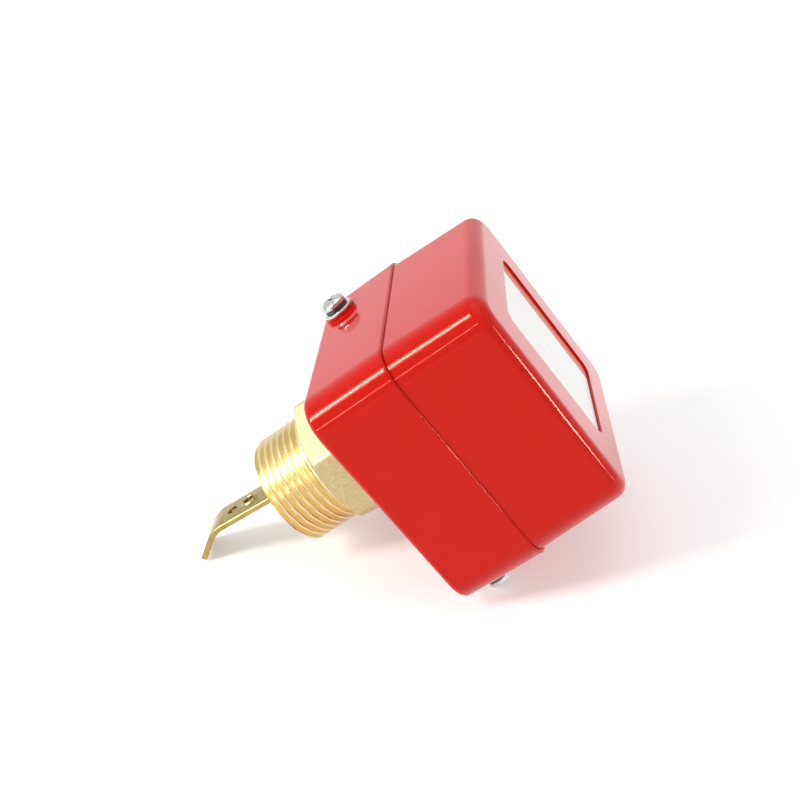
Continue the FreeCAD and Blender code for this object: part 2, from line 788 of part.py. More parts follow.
def pivot():
    """Pivot pin with its clips and the two bushes beside the lever."""
    pin = node(new_body("pivot_pin"), "pivot_pin")
    place(pin, z="pivot_up")
    section = sketch_on(pin, "XZ_Plane")
    circle(section, "0", "0", "pin_radius")
    pad(pin, section, "pin_length", both_ways=True)
    clips = node(new_body("pivot_clips"), "pivot_clips")
    place(clips, z="pivot_up")
    bushes = node(new_body("pivot_bushes"), "pivot_bushes")
    place(bushes, z="pivot_up")
    for side in ("-", ""):
        backwards = side == ""
        clip = sketch_on(clips, "XZ_Plane", lift=side + "(ear_inner + sheet_metal + 0.05)")
        circle(clip, "0", "0", "clip_radius")
        circle(clip, "0", "0", "pin_radius")
        pad(clips, clip, "clip_thickness", backwards=not backwards)
        bush = sketch_on(bushes, "XZ_Plane", lift=side + "(ear_inner - 0.05)")
        circle(bush, "0", "0", "bush_radius")
        circle(bush, "0", "0", "pin_radius + pin_clearance")
        pad(bushes, bush, "ear_inner - 0.15 - arm_width / 2 - lever_metal - 0.2",
            backwards=backwards)


def body_fastenings():
    """Four screws that clamp the frame and the housing floor onto the brass body."""
    screw = fastener("body_screw", "screw_head_radius * 0.9", "screw_head_height", "body_tap_radius",
                     "body_screw_length")
    reach = "body_bolt_circle / 2 * 0.7071068"
    seat = "hexagon_height + floor + sheet_metal"
    places = [(side_x + reach, side_y + reach, seat, UP, 0)
              for side_x in ("-", "") for side_y in ("-", "")]
    copies("body_screws", screw, places)
    ground = fastener("ground_master", "screw_head_radius", "screw_head_height", "screw_radius",
                      "sheet_metal + washer_thickness - 0.1", slot="straight")
    seat_place = ("ground_along", "-ground_across")
    copies("ground_screw", ground, [seat_place + (seat + " + washer_thickness", UP, 0)])
    cup = washer("ground_cup", "washer_radius", "screw_radius + 0.1", "washer_thickness")
    copies("ground_washer", cup, [seat_place + (seat, UP, 0)])


def switch():
    """Snap switch with stepped ends, its plunger, terminals, screws and insulating sheet."""
    middle = "frame_front - sheet_metal - insulator - switch_thickness / 2"
    body = node(new_body("switch_body"), "switch_body")
    place(body, x=middle, z="switch_up")
    section = sketch_on(body, "YZ_Plane")
    shoulder = "switch_length / 2 - switch_shoulder"
    low = "switch_height - switch_step"
    half = "switch_length / 2"
    outline(section, [("-" + half, "0"), (half, "0"), (half, low), (shoulder, low),
                      (shoulder, "switch_height"), ("-(%s)" % shoulder, "switch_height"),
                      ("-(%s)" % shoulder, low), ("-" + half, low)])
    pad(body, section, "switch_thickness", both_ways=True)
    bolts = sketch_on(body, "YZ_Plane")
    for side in ("-", ""):
        circle(bolts, side + "switch_hole_pitch / 2", "switch_bolt_up", "switch_hole_radius")
    pocket(body, bolts, "switch_thickness + 2", both_ways=True)
    guide = sketch_on(body, "XY_Plane", lift="-1")
    circle(guide, "0", "0", "plunger_radius + pin_clearance")
    pocket(body, guide, "plunger_inside + 2", backwards=True)
    taps = sketch_on(body, "XY_Plane", lift=low)
    for x, y in terminal_spots():
        circle(taps, x, y, "terminal_screw_radius")
    pocket(body, taps, "terminal_screw_length")
    plunger = node(new_body("switch_plunger"), "switch_plunger")
    place(plunger, x=middle, z="switch_up")
    profile = sketch_on(plunger, "XZ_Plane")
    outline(profile, [("0", "-plunger_reach"), ("plunger_radius - 1", "-plunger_reach"),
                      ("plunger_radius", "-plunger_reach + 1"),
                      ("plunger_radius", "plunger_inside - 3"), ("0", "plunger_inside - 3")])
    turned(plunger, profile)
    sheet_body = node(new_body("switch_insulator"), "switch_insulator")
    place(sheet_body, x="frame_front - sheet_metal - insulator", z="switch_up - 2")
    leaf = sketch_on(sheet_body, "YZ_Plane")
    rectangle(leaf, "-frame_width / 2", "0", "frame_width / 2", "switch_height")
    for side in ("-", ""):
        circle(leaf, side + "switch_hole_pitch / 2", "switch_bolt_up + 2", "switch_hole_radius")
    pad(sheet_body, leaf, "insulator")
    switch_fastenings(middle)


def terminal_spots():
    """Give the three terminals' places on the switch: one at one end, two at the other."""
    along = "(switch_length / 2 - switch_shoulder / 2)"
    return [("0", along), ("-switch_thickness / 4", "-" + along),
            ("switch_thickness / 4", "-" + along)]


def switch_fastenings(middle):
    """Terminal plates and screws, and the two bolts through the switch with their nuts."""
    top = "switch_up + switch_height - switch_step"
    plates = node(new_body("terminal_plates"), "terminal_plates")
    place(plates, x=middle, z=top)
    for x, y in terminal_spots():
        leaf = sketch_on(plates, "XY_Plane")
        rectangle(leaf, "%s - terminal_width / 2" % x, "%s - terminal_length / 2" % y,
                  "%s + terminal_width / 2" % x, "%s + terminal_length / 2" % y)
        circle(leaf, x, y, "terminal_screw_radius + 0.1")
        pad(plates, leaf, "terminal_thickness")
    screw = fastener("terminal_screw", "terminal_head_radius", "screw_head_height",
                     "terminal_screw_radius", "terminal_screw_length", slot="straight")
    places = [("%s + %s" % (middle, x), y, top + " + terminal_thickness", UP, 0)
              for x, y in terminal_spots()]
    copies("terminal_screws", screw, places)
    bolt = fastener("switch_bolt", "screw_head_radius", "screw_head_height", "screw_radius",
                    "switch_screw_length")
    height = "switch_up + switch_bolt_up"
    near = "%s - switch_thickness / 2" % middle
    copies("switch_screws", bolt,
           [(near, side + "switch_hole_pitch / 2", height, SIDEWAYS, -90) for side in ("-", "")])
    nut = hexagon_nut("switch_nut", "nut_height", "screw_radius")
    copies("switch_nuts", nut,
           [("frame_front", side + "switch_hole_pitch / 2", height, SIDEWAYS, 90)
            for side in ("-", "")])


def range_adjustment():
    """Range spring, its seat, the adjusting screw and the lock nut on the bridge."""
    spring = node(new_body("range_spring"), "range_spring")
    place(spring, x="spring_across", z="spring_bottom + spring_wire")
    wire = sketch_on(spring, "XZ_Plane")
    half = "spring_wire / 2"
    outline(wire, [("spring_radius + spring_wire", "0"),
                   ("spring_radius + " + half, "spring_wire"),
                   ("spring_radius - " + half, "spring_wire"),
                   ("spring_radius - spring_wire", "0"),
                   ("spring_radius - " + half, "-spring_wire"),
                   ("spring_radius + " + half, "-spring_wire")])
    coil = spring.newObject("PartDesign::AdditiveHelix", "range_spring_coil")
    coil.Profile = wire
    coil.ReferenceAxis = (wire, ["V_Axis"])
    coil.Mode = 2
    coil.setExpression("Height", bound("spring_length - 2 * spring_wire"))
    coil.setExpression("Turns", bound("spring_turns"))
    seat = node(new_body("spring_seat"), "spring_seat")
    place(seat, x="spring_across", z="seat_bottom")
    profile = sketch_on(seat, "XZ_Plane")
    outline(profile, [("0", "-3"), ("spring_radius - spring_wire - 0.2", "-3"),
                      ("spring_radius - spring_wire - 0.2", "0"), ("seat_radius", "0"),
                      ("seat_radius", "1.2"), ("range_screw_radius + 0.6", "seat_height"),
                      ("0", "seat_height")])
    turned(seat, profile)
    screw = fastener("range_screw_master", "range_head_radius", "range_head_height",
                     "range_screw_radius", "range_screw_length", slot="straight")
    head_seat = "seat_bottom + seat_height + 0.05 + range_screw_length"
    copies("range_screw", screw, [("spring_across", "0", head_seat, UP, 0)])
    nut = hexagon_nut("range_nut", "locknut_height", "range_screw_radius + 0.06")
    copies("range_locknut", nut,
           [("spring_across", "0", "hexagon_height + floor + wall_height", UP, 0)])


def leaned(item):
    """Lean an upright-drawn piece about the pivot to the rest angle."""
    item.Placement = FreeCAD.Placement(
        FreeCAD.Vector(), FreeCAD.Rotation(FreeCAD.Vector(0, 1, 0), 1))
    item.setExpression("Placement.Rotation.Angle", bound("rest_angle"))
    place(item, z="pivot_up")
    return item


def lever():
    """Folded lever: two cheeks on the pivot, a web for the arm and a tongue for the switch."""
    body = leaned(node(new_body("lever"), "lever"))
    half = "(arm_width / 2 + 0.2)"
    outer = "(arm_width / 2 + 0.2 + lever_metal)"
    top = sketch_on(body, "XY_Plane", lift="lever_top - lever_metal")
    outline(top, [("-lever_cheek - 1", "-" + outer), ("lever_reach - 8", "-" + outer),
                  ("lever_reach", "-" + outer + " * 0.6"), ("lever_reach", outer + " * 0.6"),
                  ("lever_reach - 8", outer), ("-lever_cheek - 1", outer)])
    pad(body, top, "lever_metal")
    for side in ("-", ""):
        cheek = sketch_on(body, "XZ_Plane", lift=side + outer)
        outline(cheek, [("-lever_cheek", "lever_top"), ("-lever_cheek", "-lever_cheek"),
                        ("-lever_cheek + 1", "-lever_foot"), ("lever_cheek - 1", "-lever_foot"),
                        ("lever_cheek", "-lever_cheek"), ("lever_cheek", "lever_top")])
        circle(cheek, "0", "0", "pin_radius + pin_clearance")
        pad(body, cheek, "lever_metal", backwards=side == "")
    web = sketch_on(body, "YZ_Plane", lift="arm_thickness / 2")
    rectangle(web, "-" + half, "-lever_foot", half, "-arm_top")
    for drop in ("rivet_upper", "rivet_lower"):
        circle(web, "0", "-" + drop, "rivet_radius")
    pad(body, web, "lever_metal")


def bend_edge(side):
    """Make a test for the arm's edge across its bend, on one face of the strip."""
    def test(edge):
        box = edge.BoundBox
        across = box.YLength > 5 and box.XLength < 0.01
        near = abs(box.Center.z + number("arm_bend_at")) < 1
        return across and near and box.Center.x * side > 0
    return test


def paddle_arm():
    """Bent brass strip with two screw holes, the near one drawn into a collar."""
    body = leaned(node(new_body("paddle_arm"), "paddle_arm"))
    profile = sketch_on(body, "XZ_Plane")
    half = "arm_thickness / 2"
    inner = "(arm_bend_at - arm_thickness / 2 * tan(18))"
    outer = "(arm_bend_at + arm_thickness / 2 * tan(18))"
    tail_x = "arm_tail * sin(36)"
    tail_z = "(arm_bend_at + arm_tail * cos(36))"
    side_x = "arm_thickness / 2 * cos(36)"
    side_z = "arm_thickness / 2 * sin(36)"
    outline(profile, [
        (half, "-arm_top"),
        (half, "-" + inner),
        ("%s + %s" % (tail_x, side_x), "-%s + %s" % (tail_z, side_z)),
        ("%s - %s" % (tail_x, side_x), "-%s - %s" % (tail_z, side_z)),
        ("-" + half, "-" + outer),
        ("-" + half, "-arm_top"),
    ])
    strip = pad(body, profile, "arm_width", both_ways=True)
    inside = dress(body, "Fillet", strip, bend_edge(1), "arm_bend_radius")
    dress(body, "Fillet", inside, bend_edge(-1), "arm_bend_radius + arm_thickness")
    collar = sketch_on(body, "YZ_Plane", lift="-arm_thickness / 2")
    circle(collar, "0", "-arm_hole_near", "arm_collar_radius")
    pad(body, collar, "arm_collar_rise", backwards=True)
    holes = sketch_on(body, "YZ_Plane")
    circle(holes, "0", "-arm_hole_near", "arm_hole_radius")
    circle(holes, "0", "-arm_hole_near - arm_hole_pitch", "arm_hole_radius")
    for drop in ("rivet_upper", "rivet_lower"):
        circle(holes, "0", "-" + drop, "rivet_radius")
    pocket(body, holes, "6", both_ways=True)


def arm_fittings():
    """Two rivets that hold the arm in the lever, and the bellows cap on the arm."""
    rivets = leaned(node(new_body("arm_rivets"), "arm_rivets"))
    shank = sketch_on(rivets, "YZ_Plane", lift="-arm_thickness / 2 - 0.8")
    heads = sketch_on(rivets, "YZ_Plane", lift="-arm_thickness / 2 - 0.8")
    tails = sketch_on(rivets, "YZ_Plane", lift="arm_thickness / 2 + lever_metal")
    for drop in ("rivet_upper", "rivet_lower"):
        circle(shank, "0", "-" + drop, "rivet_radius")
        circle(heads, "0", "-" + drop, "rivet_radius * 1.25")
        circle(tails, "0", "-" + drop, "rivet_radius * 1.25")
    pad(rivets, shank, "arm_thickness + lever_metal + 1.6")
    pad(rivets, heads, "0.8")
    pad(rivets, tails, "0.8")
    cap = leaned(node(new_body("bellows_cap"), "bellows_cap"))
    disc = sketch_on(cap, "XY_Plane", lift="-bellows_cap_at - bellows_cap_thickness")
    circle(disc, "0", "0", "bellows_cap_radius")
    rectangle(disc, "-arm_thickness / 2", "-arm_width / 2", "arm_thickness / 2", "arm_width / 2")
    pad(cap, disc, "bellows_cap_thickness")


def bellows():
    """Folded metal bellows that hangs from its rim under the throat."""
    body = node(new_body("bellows"), "bellows")
    place(body, z="hexagon_height - throat_length")
    profile = sketch_on(body, "XZ_Plane")
    folds = int(number("bellows_folds"))
    outside = [("bellows_rim_radius", "0"), ("bellows_rim_radius", "-1.2"),
               ("bellows_inner", "-1.2")]
    for i in range(folds):
        outside.append(("bellows_radius", "-1.2 - bellows_pitch * %.1f" % (i + 0.5)))
        outside.append(("bellows_inner", "-1.2 - bellows_pitch * %d" % (i + 1)))
    inside = [(x + " - bellows_wall", z) for x, z in reversed(outside[2:])]
    outline(profile, outside + inside + [("bellows_inner - bellows_wall", "0")])
    turned(body, profile)


def write_parts():
    """Check every object, then write one STEP file per named sub-part."""
    document.recompute()
    for item in document.Objects:
        if "Invalid" in item.State or "Error" in item.State:
            raise RuntimeError("%s did not build" % item.Name)
    for label, item in NODES.items():
        if item.Shape.isNull() or not item.Shape.isValid():
            raise RuntimeError("%s has a broken shape" % label)
    os.makedirs("parts", exist_ok=True)
    for label, item in NODES.items():
        item.Shape.exportStep("parts/%s.step" % label)


brass_body()
housing_base()
housing_cover()
rating_label()
cover_gasket()
cable_grommet()
side_fastenings()
mechanism_frame()
pivot()
body_fastenings()
switch()
range_adjustment()
lever()
paddle_arm()
arm_fittings()
bellows()
write_parts()
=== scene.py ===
"""Paddle flow switch, dressed for the camera: red two-part box, brass nipple and rolled brass arm.

Metres throughout, in the CAD model's own frame. Shape details are given in millimetres and scaled
by MM where a mesh is written.
"""

import json
import math

import bmesh
import bpy
from mathutils import Matrix, Vector


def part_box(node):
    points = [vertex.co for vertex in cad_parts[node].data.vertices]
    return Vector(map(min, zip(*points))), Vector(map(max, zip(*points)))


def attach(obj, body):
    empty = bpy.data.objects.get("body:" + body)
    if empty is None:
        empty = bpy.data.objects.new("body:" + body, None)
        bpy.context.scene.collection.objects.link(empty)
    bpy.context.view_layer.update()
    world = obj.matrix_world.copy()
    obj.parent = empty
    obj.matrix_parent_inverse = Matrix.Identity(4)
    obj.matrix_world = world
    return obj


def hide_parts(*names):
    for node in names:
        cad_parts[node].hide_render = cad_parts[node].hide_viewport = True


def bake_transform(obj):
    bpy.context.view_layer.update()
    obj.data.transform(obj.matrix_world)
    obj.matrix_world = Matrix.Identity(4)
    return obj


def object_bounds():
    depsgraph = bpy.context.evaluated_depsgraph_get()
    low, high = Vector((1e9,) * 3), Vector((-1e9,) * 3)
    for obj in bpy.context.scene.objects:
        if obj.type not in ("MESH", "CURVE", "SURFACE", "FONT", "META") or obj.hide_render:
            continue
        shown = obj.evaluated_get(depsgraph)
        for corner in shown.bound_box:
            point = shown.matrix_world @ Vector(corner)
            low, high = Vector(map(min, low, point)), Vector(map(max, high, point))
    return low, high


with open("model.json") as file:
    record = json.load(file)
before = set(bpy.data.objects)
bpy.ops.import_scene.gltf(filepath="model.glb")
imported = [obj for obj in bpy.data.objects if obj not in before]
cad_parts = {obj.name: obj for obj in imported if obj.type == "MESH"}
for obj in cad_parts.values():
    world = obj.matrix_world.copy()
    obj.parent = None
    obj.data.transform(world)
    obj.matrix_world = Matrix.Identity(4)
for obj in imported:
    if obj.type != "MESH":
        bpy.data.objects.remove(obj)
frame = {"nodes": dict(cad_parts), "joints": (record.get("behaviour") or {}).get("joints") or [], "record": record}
CAD_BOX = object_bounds()
NODES = frame["nodes"]
RECORD = frame["record"]
JOINTS = {joint["name"]: joint for joint in frame["joints"]}
MOUNTS = {mount["name"]: mount for mount in RECORD["mounts"]}
SLOT_OF = {part["node"]: part["material_slot"] for part in RECORD["subparts"]}
MM = 0.001


# ---------------------------------------------------------------- shader helpers

# The part of zero to one that noise mostly stays in.
CLOUD_RANGE = (0.3, 0.7)


def shader_tree(name):
    """Start a material; return it with its node tree, main shader and object coordinates."""
    material = bpy.data.materials.new(name)
    material.use_nodes = True
    tree = material.node_tree
    shader = tree.nodes["Principled BSDF"]
    place = tree.nodes.new("ShaderNodeTexCoord")
    return material, tree, shader, place.outputs["Object"]


def stretched(tree, place, scale):
    """Scale coordinates differently along X, Y and Z."""
    mapping = tree.nodes.new("ShaderNodeMapping")
    mapping.inputs["Scale"].default_value = scale
    tree.links.new(place, mapping.inputs["Vector"])
    return mapping.outputs["Vector"]


def noise(tree, place, scale, detail=3.0, roughness=0.55):
    """Cloudy noise; scale counts features per metre."""
    texture = tree.nodes.new("ShaderNodeTexNoise")
    texture.inputs["Scale"].default_value = scale
    texture.inputs["Detail"].default_value = detail
    texture.inputs["Roughness"].default_value = roughness
    tree.links.new(place, texture.inputs["Vector"])
    return texture.outputs["Fac"]


def cells(tree, place, scale):
    """Distance to scattered points; scale counts points per metre."""
    texture = tree.nodes.new("ShaderNodeTexVoronoi")
    texture.inputs["Scale"].default_value = scale
    tree.links.new(place, texture.inputs["Vector"])
    return texture.outputs["Distance"]


def span(tree, value, low, high, to_low=0.0, to_high=1.0):
    """Map a value's range onto another, clamped."""
    ranger = tree.nodes.new("ShaderNodeMapRange")
    ranger.inputs["From Min"].default_value = low
    ranger.inputs["From Max"].default_value = high
    ranger.inputs["To Min"].default_value = to_low
    ranger.inputs["To Max"].default_value = to_high
    tree.links.new(value, ranger.inputs["Value"])
    return ranger.outputs["Result"]


def clouded(tree, place, scale, detail, low, high):
    """Noise spread between a low and a high value."""
    return span(tree, noise(tree, place, scale, detail), *CLOUD_RANGE, low, high)


def blended(tree, factor, first, second):
    """Mix two colours; each is a colour or another node's output."""
    mix = tree.nodes.new("ShaderNodeMix")
    mix.data_type = "RGBA"
    tree.links.new(factor, mix.inputs["Factor"])
    for socket, value in ((mix.inputs[6], first), (mix.inputs[7], second)):
        if isinstance(value, tuple):
            socket.default_value = (*value, 1.0)
        else:
            tree.links.new(value, socket)
    return mix.outputs[2]


def combined(tree, operation, first, second):
    """Join two values with a Math node's operation."""
    both = tree.nodes.new("ShaderNodeMath")
    both.operation = operation
    tree.links.new(first, both.inputs[0])
    tree.links.new(second, both.inputs[1])
    return both.outputs["Value"]


def added(tree, first, second, weight=1.0):
    """Add a weighted second value to the first."""
    total = tree.nodes.new("ShaderNodeMath")
    total.operation = "MULTIPLY_ADD"
    tree.links.new(second, total.inputs[0])
    total.inputs[1].default_value = weight
    tree.links.new(first, total.inputs[2])
    return total.outputs["Value"]


def surfaced(tree, shader, colour, roughness, metallic=0.0):
    """Feed the main shader its colour and roughness."""
    tree.links.new(colour, shader.inputs["Base Color"])
    tree.links.new(roughness, shader.inputs["Roughness"])
    shader.inputs["Metallic"].default_value = metallic


def bumped(tree, shader, height, depth, strength=1.0):
    """Drive the shader's normal from a height; depth is the relief in metres."""
    bump = tree.nodes.new("ShaderNodeBump")
    bump.inputs["Strength"].default_value = strength
    bump.inputs["Distance"].default_value = depth
    tree.links.new(height, bump.inputs["Height"])
    tree.links.new(bump.outputs["Normal"], shader.inputs["Normal"])
    return bump


def mixed_shaders(tree, factor, first, second):
    """First shader where the factor is zero, second where it is one."""
    mix = tree.nodes.new("ShaderNodeMixShader")
    tree.links.new(factor, mix.inputs["Fac"])
    tree.links.new(first, mix.inputs[1])
    tree.links.new(second, mix.inputs[2])
    return mix.outputs["Shader"]


# ---------------------------------------------------------------- materials

# Reflections off the red shell are deep red face on and pale at a grazing angle.
SHELL_GLOSS_TINT = (1.0, 0.34, 0.26)
SHELL_IOR = 1.5
SHELL_EDGE_ROUND = 0.4 * MM
SHELL_EDGE_SAMPLES = 6


def red_shell():
    """Glossy red moulding with a faint ripple, small nibs and a slightly uneven gloss."""
    material, tree, shader, place = shader_tree("red_shell")
    colour = blended(tree, noise(tree, place, 60.0), (0.63, 0.006, 0.004), (0.56, 0.005, 0.003))
    surfaced(tree, shader, colour, clouded(tree, place, 240.0, 5.0, low=0.04, high=0.08))
    shader.inputs["IOR"].default_value = SHELL_IOR
    shader.inputs["Specular Tint"].default_value = (*SHELL_GLOSS_TINT, 1.0)
    ripple = noise(tree, place, 110.0, detail=1.0)
    nibs = span(tree, cells(tree, place, 170.0), 0.0, 0.05, 1.0, 0.0)
    eased = tree.nodes.new("ShaderNodeBevel")
    eased.samples = SHELL_EDGE_SAMPLES
    eased.inputs["Radius"].default_value = SHELL_EDGE_ROUND
    relief = added(tree, ripple, nibs, weight=0.35)
    bump = bumped(tree, shader, relief, depth=0.08 * MM, strength=0.5)
    tree.links.new(eased.outputs["Normal"], bump.inputs["Normal"])
    return material


def cast_brass():
    """Rough-cast brass: pale, grainy, with darker pores."""
    material, tree, shader, place = shader_tree("cast_brass")
    pores = span(tree, cells(tree, place, 1500.0), 0.05, 0.5)
    grain = noise(tree, place, 900.0, detail=6.0, roughness=0.7)
    tone = blended(tree, grain, (0.42, 0.33, 0.165), (0.58, 0.49, 0.29))
    colour = blended(tree, pores, (0.40, 0.315, 0.155), tone)
    rough = clouded(tree, place, 1300.0, 4.0, low=0.48, high=0.64)
    surfaced(tree, shader, colour, rough, metallic=1.0)
    grit = noise(tree, place, 1700.0, detail=6.0, roughness=0.7)
    bumped(tree, shader, added(tree, grit, pores, weight=0.5), depth=0.12 * MM, strength=0.8)
    return material


def turned_brass():
    """Machined brass with fine tool marks round its axis."""
    material, tree, shader, place = shader_tree("turned_brass")
    marks = noise(tree, stretched(tree, place, (60.0, 60.0, 9000.0)), 1.0, 4.0)
    tone = noise(tree, place, 180.0, detail=4.0)
    colour = blended(tree, tone, (0.70, 0.575, 0.31), (0.80, 0.675, 0.39))
    rough = span(tree, added(tree, marks, tone, weight=0.5), 0.4, 1.1, 0.20, 0.36)
    surfaced(tree, shader, colour, rough, metallic=1.0)
    bumped(tree, shader, marks, depth=0.03 * MM, strength=0.5)
    return material


def strip_brass():
    """Rolled brass strip: long faint streaks and light tarnish."""
    material, tree, shader, place = shader_tree("strip_brass")
    streaks = noise(tree, stretched(tree, place, (900.0, 1600.0, 60.0)), 1.0, 5.0)
    tarnish = span(tree, noise(tree, place, 260.0, detail=5.0, roughness=0.65), 0.42, 0.75)
    clean = blended(tree, streaks, (0.34, 0.25, 0.085), (0.46, 0.345, 0.13))
    colour = blended(tree, tarnish, clean, (0.26, 0.195, 0.065))
    rough = span(tree, added(tree, streaks, tarnish, weight=0.4), 0.3, 0.9, 0.20, 0.38)
    surfaced(tree, shader, colour, rough, metallic=1.0)
    bumped(tree, shader, streaks, depth=0.03 * MM, strength=0.5)
    return material


def metal(name, dark, light, low, high, grain=700.0):
    """Plain metal with cloudy tone, fine grain and a roughness between low and high."""
    material, tree, shader, place = shader_tree(name)
    tone = noise(tree, place, grain, detail=5.0, roughness=0.6)
    rough = clouded(tree, place, grain * 1.7, 4.0, low=low, high=high)
    surfaced(tree, shader, blended(tree, tone, dark, light), rough, metallic=1.0)
    bumped(tree, shader, tone, depth=0.02 * MM, strength=0.4)
    return material


def plastic(name, dark, light, low, high, grain=900.0):
    """Plastic or rubber with slight mottling, fine grain and a roughness between low and high."""
    material, tree, shader, place = shader_tree(name)
    tone = noise(tree, place, grain * 0.3, detail=4.0)
    rough = clouded(tree, place, grain, 4.0, low=low, high=high)
    surfaced(tree, shader, blended(tree, tone, dark, light), rough)
    bumped(tree, shader, noise(tree, place, grain * 2.0), depth=0.04 * MM, strength=0.5)
    return material


# The label's print: shares of its width or length, then widths in metres.
BAND_FROM = 0.84
RULED_LINES = (0.14, 0.22, 0.30, 0.46)
RULED_FROM = 0.30
RULED_MARGIN = 0.08
RULE_WIDTH = 0.22 * MM
PRINT_SOFTNESS = 0.08 * MM


def band_mask(tree, coordinate, low, high):
    """One between two heights along a coordinate, zero outside, with a soft print edge."""
    rise = span(tree, coordinate, low - PRINT_SOFTNESS, low + PRINT_SOFTNESS)
    fall = span(tree, coordinate, high - PRINT_SOFTNESS, high + PRINT_SOFTNESS, 1.0, 0.0)
    return combined(tree, "MULTIPLY", rise, fall)


def printed_label(low, high):
    """White film with a red band along one edge and a few pale ruled lines; no lettering."""
    material, tree, shader, place = shader_tree("printed_label")
    axes = tree.nodes.new("ShaderNodeSeparateXYZ")
    tree.links.new(place, axes.inputs["Vector"])
    along, across = axes.outputs["X"], axes.outputs["Y"]
    length, width = high.x - low.x, high.y - low.y
    paper = noise(tree, place, 500.0, detail=4.0)
    printed = blended(tree, paper, (0.88, 0.87, 0.86), (0.94, 0.93, 0.92))
    inside = band_mask(tree, along, low.x + RULED_FROM * length, high.x - RULED_MARGIN * length)
    for share in RULED_LINES:
        start = low.y + share * width
        line = band_mask(tree, across, start, start + RULE_WIDTH)
        printed = blended(tree, combined(tree, "MULTIPLY", line, inside), printed,
                          (0.62, 0.60, 0.60))
    ink = noise(tree, place, 700.0, detail=4.0)
    red = blended(tree, ink, (0.80, 0.17, 0.10), (0.72, 0.12, 0.07))
    band = band_mask(tree, across, low.y + BAND_FROM * width, high.y + MM)
    colour = blended(tree, band, printed, red)
    surfaced(tree, shader, colour, clouded(tree, place, 900.0, 4.0, low=0.30, high=0.42))
    bumped(tree, shader, noise(tree, place, 1200.0, detail=4.0), depth=0.02 * MM, strength=0.4)
    return material


STEEL_GRAIN = 1200.0
RED = red_shell()
CAST = cast_brass()
TURNED = turned_brass()
STRIP = strip_brass()
CHROME = metal("bright_steel", (0.44, 0.44, 0.43), (0.68, 0.68, 0.67), 0.06, 0.16, STEEL_GRAIN)
# Near-black steel as painted shade: it fills the screws' cross recesses and colours the spring washers between
# head and flat washer.
PAINTED_SHADE_STEEL = metal("painted_shade_steel", (0.05, 0.05, 0.05), (0.14, 0.14, 0.135), 0.12, 0.26, STEEL_GRAIN)
ZINC = metal("zinc_steel", (0.46, 0.47, 0.48), (0.68, 0.69, 0.70), 0.28, 0.46)
GREEN = metal("green_screw", (0.05, 0.32, 0.12), (0.10, 0.46, 0.20), 0.25, 0.40)
RUBBER = plastic("rubber", (0.018, 0.018, 0.018), (0.035, 0.035, 0.034), 0.55, 0.75)
BLACK = plastic("black_plastic", (0.020, 0.020, 0.020), (0.040, 0.040, 0.040), 0.30, 0.45)
SEAL = plastic("red_rubber", (0.40, 0.010, 0.008), (0.50, 0.014, 0.011), 0.45, 0.60)
FIBRE = plastic("insulator", (0.20, 0.18, 0.15), (0.30, 0.28, 0.23), 0.50, 0.70)
MAROON = plastic("plunger_plastic", (0.36, 0.05, 0.03), (0.48, 0.07, 0.05), 0.20, 0.32)
LABEL = printed_label(*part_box("rating_label"))
BY_SLOT = {
    "cast_brass": CAST,
    "strip_brass": STRIP,
    "red_shell": RED,
    "label": LABEL,
    "rubber": RUBBER,
    "bright_steel": CHROME,
    "zinc_steel": ZINC,
    "green_screw": GREEN,
    "black_plastic": BLACK,
    "insulator": FIBRE,
    "plunger_plastic": MAROON,
}


def dress_frame():
    """Give every CAD node its slot's material, and the gasket a red rubber of its own."""
    for node, slot in SLOT_OF.items():
        mesh = NODES[node].data
        mesh.materials.clear()
        mesh.materials.append(SEAL if node == "cover_gasket" else BY_SLOT[slot])


# ---------------------------------------------------------------- mesh helpers

def linked(name, mesh):
    """Write a bmesh out as an object of the scene, and free it."""
    data = bpy.data.meshes.new(name)
    mesh.to_mesh(data)
    mesh.free()
    item = bpy.data.objects.new(name, data)
    bpy.context.scene.collection.objects.link(item)
    return item


def finished(name, mesh, material, body, replaced=(), smooth_angle=40.0):
    """Turn a bmesh in millimetres into a shaded piece that rides on a body.

    The body is None for a piece that rides on no body.
    """
    bmesh.ops.recalc_face_normals(mesh, faces=mesh.faces)
    bmesh.ops.scale(mesh, vec=(MM, MM, MM), verts=mesh.verts)
    piece = linked(name, mesh)
    piece.data.materials.append(material)
    piece.data.shade_smooth()
    piece.data.set_sharp_from_angle(angle=math.radians(smooth_angle))
    if body:
        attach(piece, body)
    if replaced:
        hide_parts(*replaced)
    return piece


def joined(target, part):
    """Move one bmesh's faces into another."""
    data = bpy.data.meshes.new("part_of_group")
    part.to_mesh(data)
    part.free()
    target.from_mesh(data)
    bpy.data.meshes.remove(data)


def bridged(mesh, rows, closed_loop=False):
    """Join rows of points with quads; each row is a ring, and the last may join the first."""
    rings = [[mesh.verts.new(point) for point in row] for row in rows]
    count = len(rings[0])
    pairs = list(zip(rings, rings[1:]))
    if closed_loop:
        pairs.append((rings[-1], rings[0]))
    for lower, upper in pairs:
        for i in range(count):
            j = (i + 1) % count
            mesh.faces.new((lower[i], lower[j], upper[j], upper[i]))
    return rings


def capped(mesh, rings):
    """Close both ends of a bridged tube with flat faces."""
    mesh.faces.new(rings[0])
    mesh.faces.new(list(reversed(rings[-1])))


def turns(steps):
    """Angles of equal steps round one full turn."""
    return [2 * math.pi * i / steps for i in range(steps)]


def ring(radius, height, steps):
    """A level circle of points."""
    return [Vector((radius * math.cos(a), radius * math.sin(a), height)) for a in turns(steps)]


def lathe(mesh, profile, steps):
    """Turn a closed profile of (radius, height) points about Z."""
    bridged(mesh, [ring(r, z, steps) for r, z in profile], closed_loop=True)


def clamped(value):
    """The value, kept between zero and one."""
    return min(max(value, 0.0), 1.0)


# ---------------------------------------------------------------- brass body

BODY_STEPS = 360
THREAD_PITCH = 25.4 / 11
THREAD_DEPTH = 0.640327 * THREAD_PITCH
